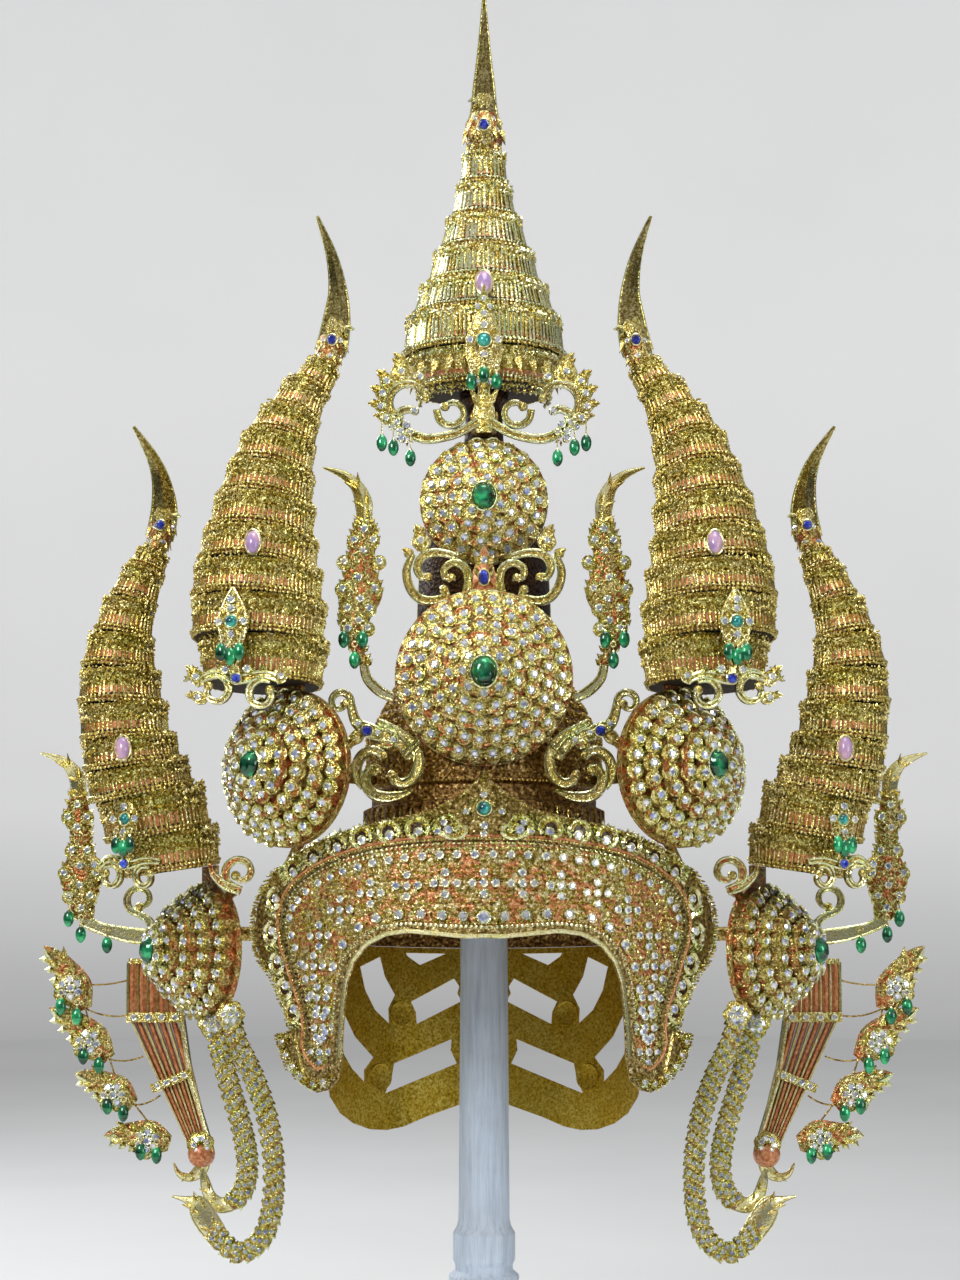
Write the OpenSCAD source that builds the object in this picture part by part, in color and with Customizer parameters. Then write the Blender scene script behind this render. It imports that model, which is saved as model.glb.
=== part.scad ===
// Ceremonial Thai crown with a tall centre spire and four side spires, on its turned wooden stand.
// Millimetres, +Z up, front towards -Y. The origin is under the middle of the stand's foot.

/* [Stand] */
// Radius of the round foot
foot_r = 100; // [90:1:120]
// Radius of the post just above its collar
post_r = 14.6; // [12:0.2:16]
// Radius of the ball that the crown sits on
ball_r = 33; // [32:0.1:33]
// Height of the middle of the ball above the floor
ball_z = 500; // [498:0.5:502]
// How far the crown leans back on the ball, in degrees
lean = 7; // [0:0.5:9]

/* [Crown body] */
// Outer radius of the head rim
head_r = 103.5; // [102:0.1:103.5]
// Thickness of the body's wall
wall = 3; // [2:0.1:3.2]
// Number of pleats in the comb ring
comb_n = 54; // [36:1:72]

/* [Spires] */
// Flutes round each tier of a spire
flutes = 18; // [14:2:24]
// Depth of a flute as a share of the tier's radius
flute_depth = 0.07; // [0.03:0.01:0.09]
// Height of the plain ring at the foot of each tier
ring_h = 3; // [2:0.2:4]

/* [Brow band] */
// Radius of the curve that the band is bent to
band_r = 150; // [148:0.5:152]
// Thickness of the band's field
band_t = 2.6; // [2:0.1:3]
// How far the crest and the lips stand above the field
crest_h = 2; // [1:0.1:2.4]

/* [Rosettes] */
// Radius of the lower middle rosette
low_r = 49; // [46:0.5:49.5]
// Radius of the upper middle rosette
up_r = 36; // [33:0.5:37]
// Radius of the inner side rosettes
mid_r = 43; // [40:0.5:44]
// Radius of the outer side rosettes
out_r = 38; // [35:0.5:39]
// Turn of the inner side rosettes away from the front, in degrees
mid_face_yaw = 39; // [36:1:42]
// Turn of the spires above them, in degrees
mid_yaw = 45; // [42:1:48]
// Turn of the outer side units away from the front, in degrees
out_yaw = 60; // [57:1:63]

/* [Stones] */
// Width of the round clear stones
stone_w = 4.6; // [4:0.1:5]
// Space left between a stone and its seat, and between neighbouring pieces
gap = 0.3; // [0.25:0.05:0.35]

/* [Hidden] */

gold = "goldenrod";
leaf_gold = "gold";
green = "green";
fine = 96;

// A row is x, z and link length of one drop that hangs on a peg in front of a plate, right half
scroll_drops = [[41, 600.5, 8], [50.5, 607.5, 9], [57, 610, 9]];
leaf_drops = [[-7, 637, 1], [0, 642, 2], [7, 637, 1]];
mid_drops = [[0, 474.5, 1], [5, 472, 1], [10, 474.5, 1]];
out_drops = [[-2.5, 376, 1], [2, 374, 1], [6.5, 376, 1]];
horn_drops = [[66.5, 489.5, 2], [71, 478, 2], [77, 489.5, 2]];
tail_drops = [[236, 345, 5], [229, 334, 3], [214, 328, 3]];
flame_drops = [[230, 285.5, 1], [239, 291, 1], [217, 258, 1], [226, 263, 1], [203, 231, 1], [212, 235, 1],
    [184, 207.5, 1], [193, 209.5, 1]];

// Where the pieces sit on the crown, before it leans back
mid_at = [113, -72, 407];
mid_face_at = [104.5, -80.5, 407];
out_at = [152, -15, 311];
low_z = 459;
up_z = 562;
low_y = -66.3;
up_y = -37.9;
scrolls_y = -52.6;
plate_t = 3;
scroll_t = 4;

// A row is the radius and thickness of one scalloped step of a dome
low_tiers = [[46, 5], [39.5, 5], [31, 5], [23, 5], [14.5, 4]];
up_tiers = [[33.5, 5], [27.5, 5], [20.5, 4], [13, 3.5]];
mid_tiers = [[40.5, 7], [35, 7], [28.5, 6], [20.5, 5.5], [12, 4]];
out_tiers = [[35.5, 8], [30, 8], [25, 7.5], [18, 7], [11, 4]];
low_gem = [13, 16];
up_gem = [12, 14.5];
mid_gem = [12, 15];
out_gem = [11.5, 15];

// A row is height and radius, from the bottom of the centre spire up
centre_rows = [[633, 40], [653, 48], [676, 42], [695, 33], [715, 26], [735, 18.5], [755, 13.5], [775, 11]];
// A row is outward offset, height, radius and inward lean in degrees, in the side unit's own frame
mid_rows = [[11, 453, 33, 2], [15, 477, 37, 4], [16, 498, 36.5, 5], [15.5, 517, 33.5, 8], [13.5, 535, 29.5, 10],
    [10, 554, 26, 12], [5.5, 572, 22.5, 16], [-1, 589, 19, 22], [-10, 605, 14.5, 28], [-22, 622, 11, 34],
    [-32.4, 637.4, 8.5, 34]];
out_rows = [[25, 356, 27, -10], [34, 376, 30, -12], [44, 398, 29.5, -12], [50, 413, 27.5, -8],
    [54.5, 428, 25, -4], [58, 447, 23.5, 0], [59.5, 466, 20.5, 6], [57, 485, 16, 12], [51, 505, 13, 20],
    [43.5, 523, 10, 24], [38.7, 533.9, 8, 24]];
// A row is outward offset, height and radius of a horn
mid_horn = [[-33.1, 638.6, 7.2], [-36.2, 643.4, 8.6], [-40, 654, 8.6], [-42.5, 668, 7.4], [-43, 684, 5],
    [-38, 703, 3], [-27, 723, 0.7]];
out_horn = [[38.1, 535.2, 6.6], [36, 540.2, 7.6], [33.5, 550, 7.8], [32.5, 562, 7], [35, 577, 4.8],
    [41, 590, 3], [52, 605, 0.7]];

// Half of the brow band's outline seen from the front, from the peak down the outer edge and back
band_outer = [[0, 404], [4, 398], [14, 390], [27, 383], [44, 379], [60, 376], [76, 372.5], [90, 367.5], [103, 361],
    [114, 353.5], [121.5, 344], [125.5, 333], [126.5, 321], [125, 311], [121, 302], [116, 296], [112.5, 289],
    [109, 280], [105, 272], [104, 266], [111.5, 263], [110, 255], [105.5, 245], [98, 237], [90, 232], [83, 233.5],
    [78, 239]];
band_inner = [[76, 250], [75.5, 264], [74.5, 278], [73, 291], [69, 302], [62, 310.5], [52, 315.5], [40, 317],
    [22, 315], [9, 313.5], [0, 314]];
field_outer = [[0, 366], [20, 366], [44, 364.5], [62, 362], [78, 358], [91, 352.5], [101, 346], [108, 337],
    [110.5, 326], [109, 314], [105, 302], [101, 290], [97, 279], [95, 268], [96, 258], [92, 250], [87, 246],
    [83, 250]];
field_inner = [[81, 262], [80, 276], [78.5, 291], [74.5, 305], [66, 315], [55, 320.5], [40, 322], [20, 320.5],
    [0, 319.5]];

// Cleaned spline through rows of numbers, any row length, n steps between rows
function spline(p, n) = [for (i = [0 : len(p) - 2]) for (k = [0 : n - 1])
    let (a = p[max(i - 1, 0)], b = p[i], c = p[i + 1], d = p[min(i + 2, len(p) - 1)], t = k / n)
    0.5 * (2 * b + (c - a) * t + (2 * a - 5 * b + 4 * c - d) * t * t + (3 * b - a - 3 * c + d) * t * t * t),
    p[len(p) - 1]];
function reversed(p) = [for (i = [len(p) - 1 : -1 : 0]) p[i]];
function flipped(p) = [for (q = reversed(p)) [-q[0], q[1]]];
function unit(v) = v / norm(v);
// Outline of a stroke along rows of x, y and full width
function stroke(rows, n = 3) = let (s = spline(rows, n), m = len(s) - 1,
    side = [for (i = [0 : m]) let (d = unit([s[min(i + 1, m)][0] - s[max(i - 1, 0)][0],
        s[min(i + 1, m)][1] - s[max(i - 1, 0)][1]])) [-d[1], d[0]] * s[i][2] / 2])
    concat([for (i = [0 : m]) [s[i][0], s[i][1]] + side[i]],
        [for (i = [m : -1 : 0]) [s[i][0], s[i][1]] - side[i]]);
// Scalloped outline with n lobes
function lobes(r, depth, n, per = 4) = [for (i = [0 : n * per - 1])
    let (a = 360 * i / (n * per)) r * (1 - depth * (1 - abs(sin(180 * i / per)))) * [cos(a), sin(a)]];

// The crown leans back about the middle of the ball
module on_crown() {
    translate([0, 0, ball_z]) rotate([-lean, 0, 0]) translate([0, 0, -ball_z]) children();
}
// A piece drawn for the right side goes to the right (1) or is mirrored to the left (-1)
module on_side(side) {
    on_crown() if (side > 0) children(); else mirror([1, 0, 0]) children();
}
// Frame of a side unit: -Y points outwards, the plate's middle is at its own height
module at_unit(place, yaw) {
    translate([place[0], place[1], 0]) rotate([0, 0, yaw]) children();
}
// An upright plate drawn as x and z, its front face at y, going back by t
module upright(y, t) {
    translate([0, y + t, 0]) rotate([90, 0, 0]) linear_extrude(t) children();
}

// Cut stone on its flat seat: n sides, a sloped crown and a table
module gem(w, h, deep, n = 8) {
    polyhedron(
        points = concat(
            [for (i = [0 : n - 1]) let (a = 360 * (i + 0.5) / n) [0.7 * w / 2 * cos(a), 0.7 * h / 2 * sin(a), 0]],
            [for (i = [0 : n - 1]) let (a = 360 * (i + 0.5) / n) [w / 2 * cos(a), h / 2 * sin(a), 0.4 * deep]],
            [for (i = [0 : n - 1]) let (a = 360 * (i + 0.5) / n) [0.6 * w / 2 * cos(a), 0.6 * h / 2 * sin(a), deep]]),
        faces = concat([[for (i = [0 : n - 1]) i], [for (i = [n - 1 : -1 : 0]) 2 * n + i]],
            [for (k = [0 : 1]) for (i = [0 : n - 1]) let (j = (i + 1) % n)
                [k * n + i, k * n + n + i, k * n + n + j, k * n + j]]));
}
// Small clear stone: eight sloped sides and a table
module chip(w = stone_w, deep = 2.2) {
    polyhedron(
        points = [for (k = [0 : 1]) for (i = [0 : 7]) let (a = 45 * (i + 0.5), r = w / 2 * (1 - 0.36 * k))
            [r * cos(a), r * sin(a), deep * k]],
        faces = concat([[for (i = [0 : 7]) i], [for (i = [7 : -1 : 0]) 8 + i]],
            [for (i = [0 : 7]) [i, 8 + i, 8 + (i + 1) % 8, (i + 1) % 8]]));
}
// Tapered solid swept along rows of x, y, z and radius; sides give its section, wide its width over its depth
module sweep(rows, sides, n = 2, wide = 1, up = [0, 1, 0]) {
    s = spline(rows, n);
    m = len(s) - 1;
    p = [for (q = s) [q[0], q[1], q[2]]];
    ring = [for (i = [0 : m]) let (d = unit(p[min(i + 1, m)] - p[max(i - 1, 0)]),
        a = unit(cross(d, up)), b = cross(a, d))
        [for (k = [0 : sides - 1]) let (t = 360 * (k + 0.5) / sides)
            p[i] + s[i][3] * (wide * cos(t) * a + sin(t) * b)]];
    polyhedron(
        points = [for (r = ring) for (q = r) q],
        faces = concat([[for (k = [sides - 1 : -1 : 0]) k], [for (k = [0 : sides - 1]) m * sides + k]],
            [for (i = [0 : m - 1]) for (k = [0 : sides - 1]) let (j = (k + 1) % sides)
                [i * sides + k, i * sides + j, (i + 1) * sides + j, (i + 1) * sides + k]]));
}
// Marquise drop under its jump ring and link, hanging from the point where the ring starts
module drop(link = 2, long = 12) {
    translate([0, 0, -1.4]) rotate([90, 0, 0]) difference() {
        cylinder(h = 0.8, r = 1.5, center = true, $fn = 6);
        cylinder(h = 1, r = 0.75, center = true, $fn = 6);
    }
    translate([0, 0, -3 - link]) cylinder(h = link + 0.7, r = 0.4, $fn = 4);
    translate([0, 0, -2.2 - link]) polyhedron(
        points = concat([[0, 0, 0]],
            [for (k = [0 : 1]) for (i = [0 : 5]) let (a = 60 * i, z = -(0.3 + 0.36 * k) * long)
                [2.7 * cos(a), 1.6 * sin(a), z]], [[0, 0, -long]]),
        faces = concat([for (i = [0 : 5]) [0, 1 + (i + 1) % 6, 1 + i]],
            [for (i = [0 : 5]) [1 + i, 1 + (i + 1) % 6, 7 + (i + 1) % 6, 7 + i]],
            [for (i = [0 : 5]) [7 + i, 7 + (i + 1) % 6, 13]]));
}
// Pegs for the drops in the front face of an upright plate
module pegs(rows, y) {
    for (q = rows) translate([q[0], y + 0.5, q[1] - 1.4]) rotate([90, 0, 0]) cylinder(h = 3.1, r = 0.4, $fn = 16);
}
// One coronet of a spire: plain ring, fluted wall and a wider crest of leaf tips
module coronet(h, r, r_next, n) {
    top_r = r + (r_next - r) * 0.62;
    cylinder(h = ring_h, r = r, $fn = fine);
    translate([0, 0, ring_h - 0.2]) cylinder(h = h - ring_h + 0.4, r = min(r, r_next) * 0.86, $fn = fine);
    translate([0, 0, ring_h - 0.1]) linear_extrude(h * 0.4) polygon(lobes(r * 0.965, flute_depth, n, 2));
    translate([0, 0, h * 0.36]) rotate([0, 0, 180 / n]) linear_extrude(h * 0.52)
        polygon(lobes(top_r + 0.9, flute_depth, n, 2));
}
// Stepped dome of scalloped discs on a round back plate, drawn facing +Z
module rosette(r, tiers) {
    cylinder(h = plate_t, r = r, $fn = fine);
    dome_steps(tiers, plate_t);
}
module dome_steps(tiers, from) {
    for (i = [0 : len(tiers) - 1])
        translate([0, 0, from - 0.2 + step_z(tiers, i)]) rotate([0, 0, 9 * i])
            linear_extrude(tiers[i][1] + 0.2) polygon(lobes(tiers[i][0], 0.06, round(tiers[i][0] * 0.5), 3));
}
function step_z(tiers, i) = i == 0 ? 0 : tiers[i - 1][1] + step_z(tiers, i - 1);
// Ring of clear stones on top of the widest step of a dome
module dome_stones(tiers, count) {
    for (k = [0 : count - 1]) rotate([0, 0, 360 * (k + 0.5) / count])
        translate([tiers[1][0] + stone_w / 2 + 0.4, 0, plate_t + tiers[0][1] + gap]) chip();
}
function dome_h(tiers) = plate_t + step_z(tiers, len(tiers));
// Faces a piece drawn towards +Z to the front, its back at y
module facing(z, y) {
    translate([0, y, z]) rotate([90, 0, 0]) children();
}
// A spiral scroll stroke: middle, outer radius, turn in degrees, start angle and width at its foot
function scroll(c, r, turn, start, w) = [for (i = [0 : 8]) let (t = i / 8, a = start + turn * t,
    q = r * (1 - 0.68 * t)) [c[0] + q * cos(a), c[1] + q * sin(a), w * (1 - 0.35 * t)]];
// A flame leaf seen from the front: foot, tip, full width and which way it bends
function flame(foot, tip, w, bend) = let (d = tip - foot, s = [-d[1], d[0]] * bend)
    [[foot[0], foot[1], w * 0.45], concat(foot + 0.3 * d + s * 0.6, [w]), concat(foot + 0.62 * d + s, [w * 0.66]),
        concat(foot + 0.85 * d + s * 0.7, [w * 0.34]), [tip[0], tip[1], 0.7]];
module leaf(foot, tip, w, bend = 0.1) {
    polygon(stroke(flame(foot, tip, w, bend)));
}
module curl(c, r, turn, start, w) {
    polygon(stroke(scroll(c, r, turn, start, w), 2));
}
module both_ways() {
    children();
    mirror([1, 0]) children();
}

module stand() {
    color("lightsteelblue") rotate_extrude($fn = fine) polygon(concat(
        [[0, 0], [foot_r, 0], [foot_r, 12], [foot_r - 4, 16], [foot_r - 12, 18], [foot_r - 14, 24], [40, 30],
            [27, 36], [22, 46], [20, 58], [24, 64], [24, 70], [17, 76], [15.5, 96], [17, 114], [20, 122], [20, 128],
            [16.5, 131], [16.5, 134], [17.8, 137], [17.8, 152], [15.5, 156], [post_r, 160], [13.4, 316],
            [12.6, 465]],
        [for (a = [-66 : 6 : 84]) [ball_r * cos(a), ball_z + ball_r * sin(a)]],
        [[0, ball_z + ball_r]]));
}

// Straight round rod from a to b
module rod(a, b, r_a, r_b, fn = 24) {
    d = b - a;
    translate(a) rotate([0, acos(d[2] / norm(d)), atan2(d[1], d[0])])
        cylinder(h = norm(d), r1 = r_a, r2 = r_b, $fn = fn);
}

// Radius of the stem that carries the centre spire, and of the boss behind the upper rosette
stem_r = 10.5;
boss_r = 14;
// Outer and inner profile of the body, rows of radius and height
body_outer = [[head_r, 320], [head_r, 326], [100, 345], [88, 366], [73, 379], [69.5, 381], [66, 381], [66, 392],
    [63.5, 393], [63.5, 401], [66, 403], [66, 432], [63.5, 434], [58, 446], [50, 461], [47.5, 463],
    [47.5, 467], [42, 470], [38.5, 480], [37.5, 510], [36.5, 530], [35, 546], [33, 556], [26, 576], [17, 590],
    [stem_r + 1, 599], [stem_r, 622], [14, 628], [14, 632.7]];
body_inner = [[0, 535.1], [12, 535.1], [34.5, 512.6], [34.5, 480], [40, 466], [56, 432], [60, 420], [60, 386],
    [67, 374], [84, 361], [96.5, 343], [head_r - wall, 326], [head_r - wall, 320]];
module crown_body() {
    color(gold) on_crown() {
        rotate_extrude($fn = fine) polygon(concat(body_outer, [[0, 632.7]], body_inner));
        translate([0, up_y + gap, up_z]) rotate([-90, 0, 0]) cylinder(h = 20, r = boss_r, $fn = fine);
        translate([0, 0, 380.5]) linear_extrude(height = 10.5) difference() {
            polygon([for (i = [0 : comb_n - 1], q = [[-1.9, 66.6], [-1.5, 68.3], [1.5, 68.3], [1.9, 66.6]])
                let (a = 360 * (i + 0.5) / comb_n + q[0]) q[1] * [cos(a), sin(a)]]);
            circle(r = 64.5, $fn = 48);
        }
    }
}

module band_wall(r_in, r_out) {
    translate([0, band_r - 107, 200]) difference() {
        cylinder(h = 220, r = r_out, $fn = 180);
        translate([0, 0, -1]) cylinder(h = 222, r = r_in, $fn = 180);
    }
}
// Right half given as an outer line down and an inner line back up, closed over the middle
module mirrored_outline(outer, inner) {
    polygon(concat(outer, inner, flipped([for (i = [0 : len(inner) - 2]) inner[i]]),
        flipped([for (i = [1 : len(outer) - 1]) outer[i]])));
}
module brow_band() {
    color(leaf_gold) on_crown() {
        intersection() {
            upright(-112, 100) mirrored_outline(band_outer, band_inner);
            band_wall(band_r - 3, band_r - 3 + band_t);
        }
        intersection() {
            upright(-112, 100) difference() {
                mirrored_outline(band_outer, band_inner);
                mirrored_outline(field_outer, field_inner);
            }
            band_wall(band_r - 1.5, band_r - 3 + band_t + crest_h);
        }
    }
}

// Half outline of the neck guard and the slots pierced in it, seen from the front
guard_edge = [[0, 319.7], [103, 319.7], [101, 300], [97, 275], [91.5, 250], [88.5, 231.7], [83, 222.3],
    [75.7, 216.6], [66.3, 213.2], [56.8, 212.8], [47.2, 214.8], [33.7, 220.7], [12.2, 228.5], [0, 231]];
guard_slots = [
    [[22.5, 316.5], [46, 316.5], [45, 314.5], [37.8, 309.5]],
    [[43, 287.9], [17.7, 301.9], [14.6, 297.1], [15.8, 293.1], [13.2, 288.6], [39.6, 274.8], [40.2, 282]],
    [[52.7, 251.6], [19.1, 266.2], [19.7, 259.7], [16.1, 251.9], [57.8, 234.1], [54, 243.8]],
    [[72.3, 307.4], [61, 313.7], [58.1, 302.1], [52.3, 291.6], [56.1, 283.7], [55.7, 274.9], [63.7, 282.5],
        [69.4, 293.9]],
    [[81.1, 279.8], [75, 266.6], [64.6, 254.9], [69.8, 247.4], [69.8, 240.7], [76.7, 248.3], [81.4, 256.8],
        [82.4, 271.1]]];
module neck_guard() {
    color("gold") on_crown() difference() {
        intersection() {
            upright(12, 100) mirrored_outline([for (i = [0 : len(guard_edge) - 2]) guard_edge[i]],
                [guard_edge[len(guard_edge) - 1]]);
            translate([0, 0, 200]) difference() {
                cylinder(h = 130, r = head_r, $fn = 180);
                translate([0, 0, -1]) cylinder(h = 132, r = head_r - wall, $fn = 180);
            }
        }
        for (side = [-1, 1]) for (slot = guard_slots)
            upright(10, 110) polygon([for (q = slot) [side * q[0], q[1]]]);
    }
}

module centre_spire() {
    color(gold) on_crown() for (i = [0 : len(centre_rows) - 2]) let (q = centre_rows[i], s = centre_rows[i + 1])
        translate([0, 0, q[0]]) coronet(s[0] - q[0], q[1], s[1], flutes);
}
module centre_finial() {
    color(leaf_gold) on_crown() sweep([[0, 0, 775.3, 9.5], [0, 0, 781, 12], [0, 0, 790, 11.5], [0, 0, 798, 8],
        [0, 0, 815, 6.2], [0, 0, 833, 4], [0, 0, 852, 2.2], [0, 0, 871, 0.6]], 10);
}

// Scroll plates, drawn as x and z for the right half
module upper_scrolls() {
    y = scrolls_y;
    color(leaf_gold) on_crown() {
        pegs(leaf_drops, y);
        both_sides() pegs(scroll_drops, y);
        upright(y, scroll_t) both_ways() {
            curl([42, 617], 11, 420, -150, 5);
            curl([18, 610], 9.5, -400, 0, 4);
            polygon(stroke([[3, 606, 5], [10, 601.5, 5], [20, 597.5, 5], [34, 596, 5.5], [45, 602, 5], [51, 611, 5]]));
            leaf([43, 622], [50, 645], 14, 0.12);
            leaf([50, 622], [61, 633], 9, 0.1);
            leaf([51, 612], [63, 621], 9, 0.1);
            leaf([49, 605], [61, 610], 7, 0.1);
            leaf([38, 621], [31, 637], 9, -0.1);
        }
        upright(y, scroll_t) polygon(stroke([[0, 599.5, 9], [0, 612, 12], [0, 624, 6.5], [0, 634, 15], [0, 645, 21],
            [0, 657, 18], [0, 669, 9], [0, 684, 1]]));
        translate([-8, y + scroll_t - 0.5, 604]) cube([16, -stem_r - 1 - y - scroll_t + 0.5, 11]);
    }
}
module middle_scrolls() {
    color(leaf_gold) on_crown() upright(-66, scroll_t) {
        both_ways() {
            curl([29, 519], 9, 420, -100, 4.4);
            curl([16, 517], 7, -380, -30, 3.2);
            leaf([33, 526], [38, 541], 9, 0.12);
            leaf([38, 516], [46, 522], 6, 0.1);
            polygon(stroke([[42, 508, 3], [38, 503, 4.5], [30, 502, 5], [18, 508, 4.5], [8, 504, 5], [0, 503, 5]]));
            polygon(stroke([[0, 500, 5], [18, 499, 4], [31, 501, 4], [38, 511, 4], [38, 519, 3.4]]));
        }
        leaf([0, 499], [0, 533], 19, 0);
    }
}
module upper_rosette() {
    color(gold) on_crown() facing(up_z, up_y) rosette(up_r, up_tiers);
}
module lower_rosette() {
    color(gold) on_crown() facing(low_z, low_y) rosette(low_r, low_tiers);
}

// Side units, drawn on the right
module spire(place, yaw, rows) {
    at_unit(place, yaw) for (i = [0 : len(rows) - 2]) let (q = rows[i], s = rows[i + 1])
        translate([0, -q[0], q[1]]) rotate([-q[3], 0, 0])
            coronet(norm([s[0] - q[0], s[1] - q[1]]) + 0.6, q[2], s[2], q[2] > 24 ? flutes : flutes - 6);
}
module horn(place, yaw, rows) {
    at_unit(place, yaw) sweep([for (q = rows) [0, -q[0], q[1], q[2]]], 8);
}
module mid_rosette(side) {
    color(gold) on_side(side) at_unit(mid_face_at, mid_face_yaw) {
        facing(mid_face_at[2], 0) rosette(mid_r, mid_tiers);
        translate([-9, -plate_t, mid_face_at[2] + 35]) cube([18, plate_t, 10.2]);
    }
}
module mid_spire(side) {
    color(gold) on_side(side) spire(mid_at, mid_yaw, mid_rows);
}
module mid_finial(side) {
    color(leaf_gold) on_side(side) horn(mid_at, mid_yaw, mid_horn);
}
// Front ornaments stand off the spire's foot by front_r, turned front_turn from the front
mid_front = [121, -80, 40.6, 12];
out_front = [174, -27.5, 41.2, 27];
module spire_front(f) {
    translate([f[0], f[1], 0]) rotate([0, 0, f[3]]) children();
}
module mid_scrolls(side) {
    color(leaf_gold) on_side(side) spire_front(mid_front) {
        pegs(mid_drops, -mid_front[2] - scroll_t);
        upright(-mid_front[2] - scroll_t, scroll_t) mid_scroll_shape();
    }
}
module mid_scroll_shape() {
    union() {
        curl([14, 445.5], 9, 420, 60, 4.4);
        curl([-12, 442.5], 9, -420, 120, 4.4);
        polygon(stroke([[-22, 450, 4], [-12, 453, 5], [2, 451, 6], [14, 455, 5], [25, 449, 3]]));
        leaf([22, 448], [31, 459], 8, 0.1);
        leaf([19, 439.5], [31, 443], 7, 0.1);
        leaf([-19, 449], [-29, 456], 8, -0.1);
        polygon(stroke([[4, 450, 9], [5, 462, 6], [5, 472, 13], [5, 482, 18], [5, 491, 13], [5, 501, 1]]));
    }
}
module outer_rosette(side) {
    color(gold) on_side(side) {
        at_unit(out_at, out_yaw) {
            facing(out_at[2], 0) rosette(out_r, out_tiers);
            translate([-8, -plate_t, out_at[2] + 30]) cube([16, plate_t, 18.2]);
        }
        upright(-52, scroll_t) {
            curl([134, 353], 10, 420, -90, 4.4);
            polygon(stroke([[134, 343, 5], [142, 346, 5], [149, 352, 3], [151, 358, 1]]));
        }
        rod([136, -49, 343.5], [143.2, -29, 341], 2.6, 2.6);
    }
}
module outer_spire(side) {
    color(gold) on_side(side) spire(out_at, out_yaw, out_rows);
}
module outer_finial(side) {
    color(leaf_gold) on_side(side) horn(out_at, out_yaw, out_horn);
}
module outer_scrolls(side) {
    color(leaf_gold) on_side(side) spire_front(out_front) {
        pegs(out_drops, -out_front[2] - scroll_t);
        upright(-out_front[2] - scroll_t, scroll_t) outer_scroll_shape();
    }
}
module outer_scroll_shape() {
    union() {
        curl([12, 350], 7.5, 420, 60, 4);
        curl([-10, 349], 7, -420, 120, 4);
        polygon(stroke([[-20, 357, 3], [-10, 358, 4.6], [2, 356, 5], [12, 360, 4.6], [20, 355, 3]]));
        leaf([19, 353], [27, 362], 7, 0.1);
        polygon(stroke([[2, 355, 8], [2, 366, 6], [2, 375, 12], [2, 383, 14], [2, 390.5, 5]]));
    }
}
// Scroll bracket between the lower rosette and the inner side unit
module link_scroll(side) {
    color(leaf_gold) on_side(side) upright(-72, scroll_t) {
        curl([53, 405], 17.5, 430, 140, 6.5);
        polygon(stroke([[44, 416, 5], [35.3, 424.3, 4]]));
        polygon(stroke([[40, 414, 6], [48, 424, 6], [62, 429, 8], [70, 434, 6], [73, 444, 4.4]]));
        curl([79, 445], 6.5, -400, 200, 4);
        leaf([66, 429], [75, 418], 8, 0.1);
        leaf([49, 404], [61, 405], 6, 0.1);
        leaf([48.5, 402.5], [59, 397], 6, 0.1);
        leaf([48, 402], [53, 391.5], 5, 0.1);
    }
}
// Plain bracket behind the side units, from the body to both back plates
module side_arm(side) {
    mid_in = 66.8;
    out_in = 53.6;
    color("darkgoldenrod") on_side(side) {
        at_unit(mid_face_at, mid_face_yaw) {
            rod([0, gap, 407], [0, mid_in, 407], 4, 4);
            rod([0, gap, 407], [0, gap + 2.5, 407], 13, 13, 48);
        }
        at_unit(out_at, out_yaw) {
            rod([0, gap, 322], [0, out_in, 322], 4, 4);
            rod([0, gap, 322], [0, gap + 2.5, 322], 12, 12, 48);
        }
        rod([83.7, -54.9, 407], [128, -1.2, 322], 3, 3);
    }
}
module inner_horn(side) {
    color(gold) on_side(side) {
        upright(-72, 6) {
            polygon(stroke([[66, 540, 12], [66, 548, 9], [66.5, 556, 10], [70, 565, 7.5], [78, 572, 4.5],
                [89, 576, 0.8]]));
            polygon(stroke([[66, 544, 9], [66, 537, 16], [68, 526, 15], [68, 517, 19], [68, 506, 27], [70, 496, 20],
                [72, 488, 16], [70, 476, 9], [66, 466, 5], [64, 458, 5.5], [57, 451, 6], [49.4, 447.4, 5]]));
        }
        pegs(horn_drops, -72);
    }
}
module outer_horn(side) {
    color(gold) on_side(side) {
        pegs(tail_drops, 16);
        upright(16, 6) outer_horn_shape();
    }
}
module outer_horn_shape() {
    union() {
        polygon(stroke([[232, 398, 11], [232, 406, 9], [233, 413, 9.5], [238, 420, 6.5], [245, 424, 4], [254, 427, 0.8]]));
        polygon(stroke([[232, 402, 9], [232, 389, 17], [230, 379, 11], [230, 370, 15], [230, 355, 26], [229, 343, 18],
            [228, 332, 9], [220, 327, 7], [205, 323, 9], [190, 321, 9], [174.4, 317, 6]]));
        curl([196, 343], 8.5, 420, -90, 4.4);
        polygon(stroke([[188, 322, 5], [190, 330, 5], [196, 334.5, 4.4]]));
    }
}
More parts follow.
